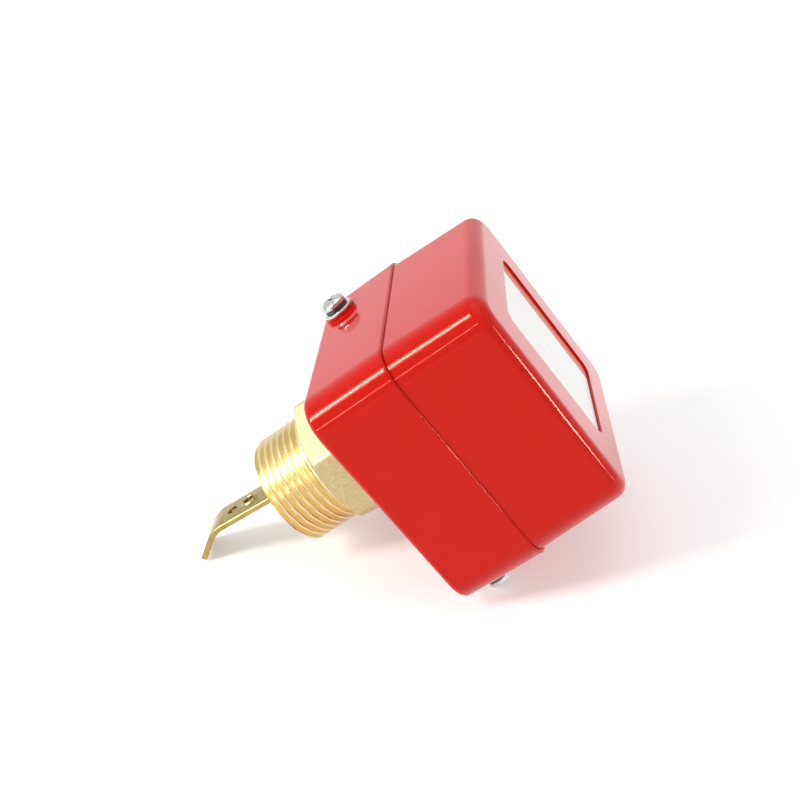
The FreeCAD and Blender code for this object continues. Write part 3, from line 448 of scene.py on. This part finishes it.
# The thread's flat root and its flank, as shares of half a pitch.
THREAD_ROOT_SHARE = 0.10
THREAD_FLANK_SHARE = 0.78
THREAD_ROUNDING = 0.05
THREAD_RUN_OUT = 0.9 * THREAD_PITCH
THREAD_CHAMFER = 0.9
CHAMFER_SLOPE = 1.6
ROWS_PER_TURN = 18
BORE_RADIUS = 12.0
BORE_CHAMFER = 1
NIPPLE_SHOULDER = 0.15
THROAT_RADIUS = 9.0
THROAT_LENGTH = 6.0
HEXAGON_FLATS = 36.0
HEXAGON_TURN = 3.2
HEXAGON_ROUND = 1.1
# A corner of 120 degrees loses this share of its rounding's radius.
CORNER_LOSS = 0.155
CORNER_SOFTNESS = 0.12
CONE_SLOPE = 0.574
CONE_INSET = 0.2
EDGE_SIZE = 0.35


def hexagon_radius(angle):
    """Distance from the axis to the hexagon's side, its corners slightly rounded."""
    sixth = math.pi / 3
    off = (angle - math.radians(HEXAGON_TURN) + sixth / 2) % sixth - sixth / 2
    flat = HEXAGON_FLATS / 2
    sharp = flat / math.cos(sixth / 2 - abs(off))
    cap = flat / math.cos(sixth / 2) - HEXAGON_ROUND * CORNER_LOSS
    nearest = math.exp(-sharp / CORNER_SOFTNESS) + math.exp(-cap / CORNER_SOFTNESS)
    return -CORNER_SOFTNESS * math.log(nearest)


def cone_height(angle):
    """Height at which the cone turned under the hexagon's corners meets its side."""
    return max(0.0, (hexagon_radius(angle) - HEXAGON_FLATS / 2 + CONE_INSET) * CONE_SLOPE)


def thread_radius(angle, height, major, length):
    """Radius of a right-hand thread, run out at its top and chamfered at its end."""
    phase = (height / THREAD_PITCH - angle / (2 * math.pi)) % 1.0
    flank = abs(2 * phase - 1)
    slope = clamped((flank - THREAD_ROOT_SHARE) / THREAD_FLANK_SHARE)
    profile = slope - THREAD_ROUNDING * math.sin(2 * math.pi * slope)
    radius = major - THREAD_DEPTH * (1 - profile) * clamped(-height / THREAD_RUN_OUT)
    end = length + height
    return min(radius, major - THREAD_CHAMFER * CHAMFER_SLOPE + end * CHAMFER_SLOPE)


def brass_body():
    """Cast hexagon and machined nipple in one closed surface, row by row down and back up."""
    low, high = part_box("brass_body")
    length = -low.z / MM
    height = high.z / MM
    major = MOUNTS["pipe_thread"]["dims"]["r_mm"]
    flat = HEXAGON_FLATS / 2
    rows = []

    def row(radius_at, height_at):
        rows.append([Vector((radius_at(a) * math.cos(a), radius_at(a) * math.sin(a), height_at(a)))
                     for a in turns(BODY_STEPS)])

    # The hexagon: its top face and eased edge, its side, and the cone under its corners.
    row(lambda a: THROAT_RADIUS, lambda a: height)
    for inset, drop in ((EDGE_SIZE, 0.0), (0.10, 0.10), (0.0, EDGE_SIZE)):
        row(lambda a, x=inset: hexagon_radius(a) - x, lambda a, z=drop: height - z)
    row(hexagon_radius, lambda a: height * 0.6)
    for inset, lift in ((0.0, 0.45), (0.06, 0.15), (0.25, -0.08)):
        row(lambda a, x=inset: hexagon_radius(a) - x,
            lambda a, z=lift: max(cone_height(a) + z, 0.03))
    row(lambda a: flat - EDGE_SIZE, lambda a: 0.0)
    cast_rows = len(rows)

    # The nipple, down its thread and back up its bore.
    row(lambda a: major + NIPPLE_SHOULDER, lambda a: 0.0)
    count = round(length / THREAD_PITCH * ROWS_PER_TURN)
    for i in range(count + 1):
        z = -length * i / count
        row(lambda a, z=z: thread_radius(a, z, major, length), lambda a, z=z: z)
    shoulder = height - THROAT_LENGTH
    for radius, z in ((BORE_RADIUS + BORE_CHAMFER, -length), (BORE_RADIUS, -length + BORE_CHAMFER),
                      (BORE_RADIUS, (shoulder - length) / 2), (BORE_RADIUS, shoulder),
                      (THROAT_RADIUS, shoulder), (THROAT_RADIUS, height - THROAT_LENGTH / 2)):
        row(lambda a, r=radius: r, lambda a, z=z: z)
    mesh = bmesh.new()
    bridged(mesh, rows, closed_loop=True)
    mesh.faces.ensure_lookup_table()
    for index, face in enumerate(mesh.faces):
        face.material_index = int(index // BODY_STEPS >= cast_rows - 1)
    piece = finished("brass_body_cast", mesh, CAST, "housing", ("brass_body",), 35.0)
    piece.data.materials.append(TURNED)


# ---------------------------------------------------------------- seam bead

CORNER_RADIUS = 9.0
CORNER_STEPS = 16
HOUSING_OFFSET = 6.2
HOUSING_LENGTH = 71.5
HOUSING_WIDTH = 77.5
BEAD_RADIUS = 0.45
BEAD_SIDES = 12
BEAD_BELOW_SEAM = 0.1
# A corner's last point stays just short of the next corner, whose centre is another one.
CORNER_END = 0.9999


def outline_point(turn_share):
    """Point and outward direction on the base's rounded outline, by corner from 0 to 4."""
    corner = int(turn_share) % 4
    angle = math.radians(90 * turn_share)
    side_x = 1 if corner in (0, 3) else -1
    side_y = 1 if corner in (0, 1) else -1
    centre = Vector((HOUSING_OFFSET + side_x * (HOUSING_LENGTH / 2 - CORNER_RADIUS),
                     side_y * (HOUSING_WIDTH / 2 - CORNER_RADIUS), 0.0))
    out = Vector((math.cos(angle), math.sin(angle), 0.0))
    return centre + out * CORNER_RADIUS, out


def seam_bead():
    """Thin raised lip that runs round the base just under the cover and catches the light."""
    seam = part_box("housing_base")[1].z / MM - BEAD_BELOW_SEAM
    rows = []
    for corner in range(4):
        for i in range(CORNER_STEPS + 1):
            spot, out = outline_point(corner + min(i / CORNER_STEPS, CORNER_END))
            rows.append([spot + out * BEAD_RADIUS * (math.cos(a) - 1)
                         + Vector((0, 0, seam + BEAD_RADIUS * math.sin(a)))
                         for a in turns(BEAD_SIDES)])
    mesh = bmesh.new()
    bridged(mesh, rows, closed_loop=True)
    finished("seam_bead", mesh, RED, "housing", smooth_angle=60.0)


# ---------------------------------------------------------------- side screws and washers

# Spins, starts and sweeps are in degrees.
HEAD_RADIUS = 3.9
HEAD_HEIGHT = 2.5
HEAD_STEPS = 96
HEAD_RINGS = 26
DOME_EDGE_DROP = 1.1
DOME_DROP = 0.25
RECESS_REACH = 2.2
RECESS_DEPTH = 1.5
RECESS_HALF_WIDTH = 0.62
RECESS_TAPER = 0.16
RECESS_WALL = 0.16
RECESS_RAMP = 0.9
# Recess faces deeper than this take the near-black steel, as painted shade.
RECESS_SHADE_FROM = 0.5
SHANK_RADIUS = 1.95
SHANK_STEPS = 48
SHANK_PITCH = 0.7
SHANK_ROWS_PER_TURN = 6
SHANK_THREAD_DEPTH = 0.38
SHANK_TIP = 0.6
SHANK_TIP_SHARE = 0.35
SHANK_CLEARANCE = 0.1
SCREW_SPIN = 24.0
WASHER_HOLE = 2.15
SPLIT_RADIUS = 3.6
SPLIT_THICKNESS = 0.94
SPLIT_EDGE = 0.06
SPLIT_STEPS = 72
SPLIT_FROM = 4.0
SPLIT_SWEEP = 352.0
SPLIT_SPIN = 200.0
FLAT_RADIUS = 4.6
FLAT_STEPS = 96
FASTENER_SMOOTH = 32.0


def side_ends(node):
    """Each solid of a side fastening, the low X one first, in metres: its side as -1 or 1, the X of
    its inner and outer ends, and the Y and Z of its middle."""
    ends = []
    for side in (-1, 1):
        points = [v.co for v in NODES[node].data.vertices if v.co.x * side > 0]
        y = (min(p.y for p in points) + max(p.y for p in points)) / 2
        z = (min(p.z for p in points) + max(p.z for p in points)) / 2
        inner = min(p.x * side for p in points) * side
        outer = max(p.x * side for p in points) * side
        ends.append((side, inner, outer, y, z))
    return ends


def on_both_walls(node, draw, spin=0.0, back=None):
    """Draw one piece for each solid of a side fastening, and turn it to face out of its wall.

    draw(mesh, length) draws it upright from zero, in millimetres. Its foot goes to the solid's
    inner end, or a distance back from the outer one.
    """
    mesh = bmesh.new()
    for side, inner, outer, y, z in side_ends(node):
        one = bmesh.new()
        draw(one, abs(outer - inner) / MM)
        foot = inner if back is None else outer - side * back * MM
        move = Matrix.Translation(Vector((foot, y, z)) / MM)
        face_out = Matrix.Rotation(math.radians(90 * side), 4, "Y")
        turn = face_out @ Matrix.Rotation(math.radians(spin), 4, "Z")
        bmesh.ops.transform(one, matrix=move @ turn, verts=one.verts)
        joined(mesh, one)
    return mesh


def recess_depth(x, y):
    """Depth of the cross recess: two crossed slots that narrow and rise outwards."""
    def wing(along, across):
        half = RECESS_HALF_WIDTH - RECESS_TAPER * abs(along) / RECESS_REACH
        edge = clamped((half - abs(across)) / RECESS_WALL)
        end = clamped((RECESS_REACH - abs(along)) / RECESS_RAMP)
        return RECESS_DEPTH * edge * end
    return max(wing(x, y), wing(y, x))


def head_point(radius, angle):
    """Point on the head's soft dome, sunk by the cross recess."""
    x, y = radius * math.cos(angle), radius * math.sin(angle)
    share = radius / HEAD_RADIUS
    dome = HEAD_HEIGHT - DOME_EDGE_DROP * share ** 4 - DOME_DROP * share ** 2
    return Vector((x, y, dome - recess_depth(x, y)))


def pan_head(mesh):
    """Pan head with a cross recess, whose deeper faces take the second material: near-black steel as painted shade
    in the recess.
    """
    rows = [ring(SHANK_RADIUS, 0.0, HEAD_STEPS), ring(HEAD_RADIUS - 0.25, 0.0, HEAD_STEPS),
            ring(HEAD_RADIUS, 0.2, HEAD_STEPS), ring(HEAD_RADIUS, 0.9, HEAD_STEPS)]
    for k in range(HEAD_RINGS):
        radius = HEAD_RADIUS * (1 - k / HEAD_RINGS)
        rows.append([head_point(radius, a) for a in turns(HEAD_STEPS)])
    last = bridged(mesh, rows)[-1]
    tip = mesh.verts.new(head_point(0, 0))
    for i in range(HEAD_STEPS):
        mesh.faces.new((last[i], last[(i + 1) % HEAD_STEPS], tip))
    for face in mesh.faces:
        spot = face.calc_center_median()
        face.material_index = int(recess_depth(spot.x, spot.y) > RECESS_SHADE_FROM)


def thread_shank(mesh, length):
    """Shank with a fine thread, down to a chamfered tip."""
    count = int(length / SHANK_PITCH * SHANK_ROWS_PER_TURN)
    rows = []
    for i in range(count + 1):
        z = -length * i / count
        fade = min(1.0, (length + z) / SHANK_TIP + SHANK_TIP_SHARE)
        line = []
        for a in turns(SHANK_STEPS):
            wave = abs(((z / SHANK_PITCH - a / (2 * math.pi)) % 1.0) * 2 - 1)
            radius = (SHANK_RADIUS - SHANK_THREAD_DEPTH * wave) * fade
            line.append(Vector((radius * math.cos(a), radius * math.sin(a), z)))
        rows.append(line)
    rings = bridged(mesh, rows)
    mesh.faces.new(list(reversed(rings[-1])))


def cross_screw(mesh, length):
    """Screw with its head's foot at zero, the shank below it."""
    pan_head(mesh)
    thread_shank(mesh, length - HEAD_HEIGHT - SHANK_CLEARANCE)


def split_ring(mesh, length):
    """One turn of square wire, its ends a little apart and out of level."""
    foot, top = SPLIT_EDGE, SPLIT_THICKNESS - SPLIT_EDGE
    near, far = WASHER_HOLE + SPLIT_EDGE, SPLIT_RADIUS - SPLIT_EDGE
    corners = ((WASHER_HOLE, foot), (near, 0), (far, 0), (SPLIT_RADIUS, foot), (SPLIT_RADIUS, top),
               (far, SPLIT_THICKNESS), (near, SPLIT_THICKNESS), (WASHER_HOLE, top))
    rows = []
    for i in range(SPLIT_STEPS + 1):
        share = i / SPLIT_STEPS
        a = math.radians(SPLIT_FROM + SPLIT_SWEEP * share)
        lift = (length - SPLIT_THICKNESS) * share
        rows.append([Vector((r * math.cos(a), r * math.sin(a), lift + h)) for r, h in corners])
    rings = bridged(mesh, rows)
    mesh.faces.new(list(reversed(rings[0])))
    mesh.faces.new(rings[-1])


def flat_ring(mesh, length):
    """Flat washer with a punched edge: rounder on its outer face."""
    lathe(mesh, ((WASHER_HOLE, 0.08), (WASHER_HOLE + 0.1, 0), (FLAT_RADIUS - 0.08, 0),
                 (FLAT_RADIUS, 0.08), (FLAT_RADIUS, length - 0.2),
                 (FLAT_RADIUS - 0.06, length - 0.06), (FLAT_RADIUS - 0.2, length),
                 (WASHER_HOLE + 0.15, length), (WASHER_HOLE, length - 0.12)), FLAT_STEPS)


def cover_screws():
    """Bright cross-head screws, one in each end wall, with painted shade in their recesses."""
    mesh = on_both_walls("cover_screws", cross_screw, SCREW_SPIN, back=HEAD_HEIGHT)
    piece = finished("cover_screws_cross", mesh, CHROME, "housing",
                     ("cover_screws",), FASTENER_SMOOTH)
    piece.data.materials.append(PAINTED_SHADE_STEEL)


def split_washers():
    """Spring washers under the screw heads, coloured near black as painted shade between head and flat washer."""
    mesh = on_both_walls("cover_spring_washers", split_ring, SPLIT_SPIN)
    finished("spring_washers_split", mesh, PAINTED_SHADE_STEEL, "housing",
             ("cover_spring_washers",), FASTENER_SMOOTH)


def flat_washers():
    """Bright flat washers between spring washers and walls."""
    mesh = on_both_walls("cover_flat_washers", flat_ring)
    finished("flat_washers_round", mesh, CHROME, "housing",
             ("cover_flat_washers",), FASTENER_SMOOTH)


# ---------------------------------------------------------------- paddle arm

REST_ANGLE = 3.7
ARM_WIDTH = 11.6
ARM_THICKNESS = 1.8
ARM_TOP = 2.3
ARM_BEND_AT = 66.8
ARM_TAIL = 10.0
ARM_BEND = 36.0
ARM_BEND_RADIUS = 9.0
ARM_EDGE = 0.55
EDGE_STEPS = 5
STRAIGHT_STEPS = 24
BEND_STEPS = 18
TAIL_STEPS = 3
HOLE_NEAR = 53.9
HOLE_PITCH = 6.3
HOLE_RADIUS = 1.65
HOLE_STEPS = 64
CUTTER_LENGTH = 8.0
COLLAR_RADIUS = 2.5
COLLAR_RISE = 0.6
COLLAR_ROOT = 0.4


def arm_stations():
    """Middle line of the strip as (x, z, lean): straight, round the bend, then the short tail."""
    lead = ARM_BEND_RADIUS * math.tan(math.radians(ARM_BEND / 2))
    start = -(ARM_BEND_AT - lead)
    straight = ARM_BEND_AT - lead - ARM_TOP
    stations = [(0.0, -(ARM_TOP + straight * i / STRAIGHT_STEPS), 0.0)
                for i in range(STRAIGHT_STEPS + 1)]
    for i in range(1, BEND_STEPS + 1):
        lean = math.radians(ARM_BEND * i / BEND_STEPS)
        stations.append((ARM_BEND_RADIUS * (1 - math.cos(lean)),
                         start - ARM_BEND_RADIUS * math.sin(lean), lean))
    x, z, lean = stations[-1]
    for i in range(1, TAIL_STEPS + 1):
        reach = (ARM_TAIL - lead) * i / TAIL_STEPS
        stations.append((x + reach * math.sin(lean), z - reach * math.cos(lean), lean))
    return stations


def strip_section():
    """Rounded rectangle across the strip, as (thickness, width) offsets."""
    half_t, half_w = ARM_THICKNESS / 2, ARM_WIDTH / 2
    points = []
    for corner, (side_t, side_w) in enumerate(((1, 1), (-1, 1), (-1, -1), (1, -1))):
        for i in range(EDGE_STEPS + 1):
            a = math.radians(90 * corner + 90 * i / EDGE_STEPS)
            points.append((side_t * (half_t - ARM_EDGE) + ARM_EDGE * math.cos(a),
                           side_w * (half_w - ARM_EDGE) + ARM_EDGE * math.sin(a)))
    return points


def across_strip(mesh, drop, quarter):
    """Turn a piece drawn upright to lie across the strip, a distance down it."""
    turn = Matrix.Rotation(math.radians(90 * quarter), 4, "Y")
    place = Matrix.Translation((0, 0, -drop))
    bmesh.ops.transform(mesh, matrix=place @ turn, verts=mesh.verts)


def leaned(mesh):
    """Lean a piece drawn upright under the pivot to the arm's rest angle."""
    pivot = Vector(JOINTS["paddle_swing"]["pos_m"]) / MM
    turn = Matrix.Rotation(math.radians(REST_ANGLE), 4, "Y")
    bmesh.ops.transform(mesh, matrix=Matrix.Translation(pivot) @ turn, verts=mesh.verts)


def cutter(drop):
    """Temporary round bar that cuts one screw hole through the strip."""
    bar = bmesh.new()
    bmesh.ops.create_cone(bar, cap_ends=True, segments=HOLE_STEPS, radius1=HOLE_RADIUS,
                          radius2=HOLE_RADIUS, depth=CUTTER_LENGTH)
    across_strip(bar, drop, 1)
    return linked("hole_cutter", bar)


def holed(mesh, drops):
    """Cut the screw holes through a bmesh, each a distance down the strip."""
    blank = linked("strip_blank", mesh)
    cutters = [cutter(drop) for drop in drops]
    for item in cutters:
        cut = blank.modifiers.new("hole", "BOOLEAN")
        cut.operation = "DIFFERENCE"
        cut.solver = "EXACT"
        cut.object = item
    bpy.context.view_layer.update()
    result = bmesh.new()
    result.from_object(blank, bpy.context.evaluated_depsgraph_get())
    for item in cutters + [blank]:
        used = item.data
        bpy.data.objects.remove(item)
        bpy.data.meshes.remove(used)
    return result


def drawn_collar():
    """Raised rim round the near hole, rooted in the strip's face."""
    face = ARM_THICKNESS / 2
    root, top = face - COLLAR_ROOT, face + COLLAR_RISE
    collar = bmesh.new()
    lathe(collar, ((HOLE_RADIUS, root), (COLLAR_RADIUS + 0.5, root),
                   (COLLAR_RADIUS + 0.45, face + 0.02), (COLLAR_RADIUS + 0.1, face + 0.12),
                   (COLLAR_RADIUS - 0.15, top - 0.12), (COLLAR_RADIUS - 0.35, top),
                   (HOLE_RADIUS + 0.15, top - 0.05), (HOLE_RADIUS, top - 0.2)), HOLE_STEPS)
    across_strip(collar, HOLE_NEAR, -1)
    return collar


def paddle_arm():
    """Rolled brass strip with rounded edges, a soft bend, two screw holes and a drawn collar."""
    section = strip_section()
    rows = []
    for x, z, lean in arm_stations():
        side_x, side_z = math.cos(lean), math.sin(lean)
        rows.append([Vector((x + t * side_x, w, z + t * side_z)) for t, w in section])
    mesh = bmesh.new()
    capped(mesh, bridged(mesh, rows))
    bmesh.ops.recalc_face_normals(mesh, faces=mesh.faces)
    mesh = holed(mesh, (HOLE_NEAR, HOLE_NEAR + HOLE_PITCH))
    joined(mesh, drawn_collar())
    leaned(mesh)
    finished("paddle_arm_strip", mesh, STRIP, "paddle_lever", ("paddle_arm",), 35.0)


# ---------------------------------------------------------------- range spring

SPRING_WIRE = 0.45
SPRING_WIRE_SIDES = 12
SPRING_TURNS = 6
SPRING_STEPS = 48 * SPRING_TURNS
SPRING_END_RISE = 0.95


def coil_rise(turn, height):
    """Height of the wire after a number of turns: close at both ends, open between."""
    open_pitch = (height - 2 * SPRING_END_RISE) / (SPRING_TURNS - 2)
    open_turns = min(max(turn - 1, 0.0), SPRING_TURNS - 2)
    return SPRING_END_RISE * (turn - open_turns) + open_pitch * open_turns


def range_coil():
    """Coil spring drawn in the range spring's place, close at both ends; it rides on no body."""
    low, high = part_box("range_spring")
    axis = (low + high) / 2 / MM
    radius = (high.x - low.x) / 2 / MM - SPRING_WIRE
    bottom = low.z / MM + SPRING_WIRE
    height = (high.z - low.z) / MM - 2 * SPRING_WIRE
    rows = []
    for i in range(SPRING_STEPS + 1):
        turn = SPRING_TURNS * i / SPRING_STEPS
        out = Vector((math.cos(2 * math.pi * turn), math.sin(2 * math.pi * turn), 0.0))
        middle = Vector((axis.x, axis.y, bottom + coil_rise(turn, height))) + out * radius
        rows.append([middle + SPRING_WIRE * (out * math.cos(a) + Vector((0, 0, math.sin(a))))
                     for a in turns(SPRING_WIRE_SIDES)])
    mesh = bmesh.new()
    capped(mesh, bridged(mesh, rows))
    slot = SLOT_OF["range_spring"]
    coil = finished("range_spring_coil", mesh, BY_SLOT[slot], None, ("range_spring",), 50.0)
    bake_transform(coil)


# ---------------------------------------------------------------- stage, light and camera

CAMERA_AT = Vector((-112.35, -289.96, 126.83)) * MM
CAMERA_TURN = (59.82, -52.24, 4.24)
CAMERA_LENS = 52.31

# Straight down at the table. The switch lies on its far screw, the box's foot and the arm's tip.
TABLE_DOWN = Vector((0.850, 0.051, -0.524)).normalized()
TABLE_GAP = 0.02 * MM
TABLE_REACH = 3.0
TABLE_COLOUR = (0.90, 0.90, 0.90, 1.0)
TABLE_GLOW = 0.32
TABLE_GLOW_IN_GLOSS = 0.50
SKY_AS_LIGHT = 0.50
SKY_AS_SEEN = 1.0
WHITE = (1.0, 1.0, 1.0, 1.0)


def stage_axes():
    """Right, towards the camera, and up, for someone who stands at the table."""
    up = -TABLE_DOWN
    towards = CAMERA_AT - up * CAMERA_AT.dot(up)
    towards.normalize()
    right = towards.cross(up) * -1
    return right, towards, up


RIGHT, TOWARDS, UP = stage_axes()
MIDDLE = (CAD_BOX[0] + CAD_BOX[1]) / 2


def lowest(direction):
    """How far the object reaches along a direction, over every CAD node's points."""
    return max(vertex.co.dot(direction)
               for item in NODES.values() for vertex in item.data.vertices)


def camera_sees(tree):
    """One for camera, mirror and glass rays, zero for the rest."""
    path = tree.nodes.new("ShaderNodeLightPath")
    mirror = combined(tree, "MAXIMUM", path.outputs["Is Camera Ray"], path.outputs["Is Glossy Ray"])
    return combined(tree, "MAXIMUM", mirror, path.outputs["Is Transmission Ray"])


def emission(tree, strength):
    """Plain white glow."""
    glow = tree.nodes.new("ShaderNodeEmission")
    glow.inputs["Strength"].default_value = strength
    return glow.outputs["Emission"]


def background(tree, strength):
    """Plain white surroundings."""
    white = tree.nodes.new("ShaderNodeBackground")
    white.inputs["Strength"].default_value = strength
    white.inputs["Color"].default_value = WHITE
    return white.outputs["Background"]


def floor_material():
    """White table top that keeps shadows and is clear from underneath."""
    material = bpy.data.materials.new("table_top")
    material.use_nodes = True
    tree = material.node_tree
    tree.nodes.clear()
    output = tree.nodes.new("ShaderNodeOutputMaterial")
    matt = tree.nodes.new("ShaderNodeBsdfDiffuse")
    matt.inputs["Color"].default_value = TABLE_COLOUR
    path = tree.nodes.new("ShaderNodeLightPath")
    mirrored = mixed_shaders(tree, path.outputs["Is Glossy Ray"], emission(tree, 0.0),
                             emission(tree, TABLE_GLOW_IN_GLOSS))
    lit = mixed_shaders(tree, path.outputs["Is Camera Ray"], mirrored, emission(tree, TABLE_GLOW))
    surface = tree.nodes.new("ShaderNodeAddShader")
    tree.links.new(matt.outputs["BSDF"], surface.inputs[0])
    tree.links.new(lit, surface.inputs[1])
    facing = tree.nodes.new("ShaderNodeNewGeometry")
    clear = tree.nodes.new("ShaderNodeBsdfTransparent")
    whole = mixed_shaders(tree, facing.outputs["Backfacing"], surface.outputs["Shader"],
                          clear.outputs["BSDF"])
    tree.links.new(whole, output.inputs["Surface"])
    return material


def table_top():
    """Large flat table that touches the object's lowest points, as it lies."""
    level = lowest(TABLE_DOWN) + TABLE_GAP
    mesh = bmesh.new()
    centre = MIDDLE + TABLE_DOWN * (level - MIDDLE.dot(TABLE_DOWN))
    corners = [centre + RIGHT * x * TABLE_REACH + TOWARDS * y * TABLE_REACH
               for x, y in ((-1, -1), (1, -1), (1, 1), (-1, 1))]
    face = mesh.faces.new([mesh.verts.new(corner) for corner in corners])
    face.normal_update()
    if face.normal.dot(UP) < 0:
        face.normal_flip()
    top = linked("table_top", mesh)
    top.data.materials.append(floor_material())


def lamp(name, direction, distance, size, radiance, only_shine=False):
    """Soft rectangular lamp that faces the object and stays out of the camera's sight.

    Its size is (width, height) in metres. One with only_shine lights no matt surface.
    """
    light = bpy.data.lights.new(name, "AREA")
    light.shape = "RECTANGLE"
    light.size, light.size_y = size
    light.energy = radiance * math.pi * light.size * light.size_y
    item = bpy.data.objects.new(name, light)
    item.location = MIDDLE + Vector(direction).normalized() * distance
    item.rotation_mode = "QUATERNION"
    item.rotation_quaternion = (MIDDLE - item.location).to_track_quat("-Z", "Y")
    item.visible_camera = False
    item.visible_diffuse = not only_shine
    bpy.context.scene.collection.objects.link(item)


SOFTBOX_FROM = (-0.835, -0.372, -0.39)
EDGE_LAMP_FROM = (0.38, -0.27, 0.88)
SIDE_STRIP_FROM = (-0.42, -0.87, -0.24)


def lights():
    """Softbox on the left with a narrow core, a weak lamp overhead, a small lamp on the label's
    side and a thin strip on the camera's side; core and strip only shine in glossy surfaces."""
    lamp("softbox", SOFTBOX_FROM, 2.0, (0.50, 1.25), 15.0)
    lamp("softbox_core", SOFTBOX_FROM, 1.99, (0.07, 1.25), 100.0, only_shine=True)
    lamp("overhead", UP, 2.0, (1.6, 1.6), 0.75)
    lamp("edge_lamp", EDGE_LAMP_FROM, 0.90, (0.10, 0.16), 40.0)
    lamp("side_strip", SIDE_STRIP_FROM, 1.0, (0.02, 0.90), 30.0, only_shine=True)


def sky():
    """Plain white surroundings: white to the camera and in reflections, softer as light."""
    world = bpy.data.worlds.new("studio")
    bpy.context.scene.world = world
    world.use_nodes = True
    tree = world.node_tree
    tree.nodes.clear()
    output = tree.nodes.new("ShaderNodeOutputWorld")
    seen = mixed_shaders(tree, camera_sees(tree), background(tree, SKY_AS_LIGHT),
                         background(tree, SKY_AS_SEEN))
    tree.links.new(seen, output.inputs["Surface"])


def camera():
    """The picture's own viewpoint, with the camera unshifted."""
    data = bpy.data.cameras.new("camera")
    data.sensor_width = 36.0
    data.lens = CAMERA_LENS
    data.clip_start = 0.01
    data.clip_end = 50.0
    item = bpy.data.objects.new("camera", data)
    item.location = CAMERA_AT
    item.rotation_euler = [math.radians(angle) for angle in CAMERA_TURN]
    bpy.context.scene.collection.objects.link(item)
    bpy.context.scene.camera = item


dress_frame()
brass_body()
seam_bead()
cover_screws()
split_washers()
flat_washers()
paddle_arm()
range_coil()
table_top()
lights()
sky()
camera()
bpy.context.scene.view_settings.view_transform = "Standard"
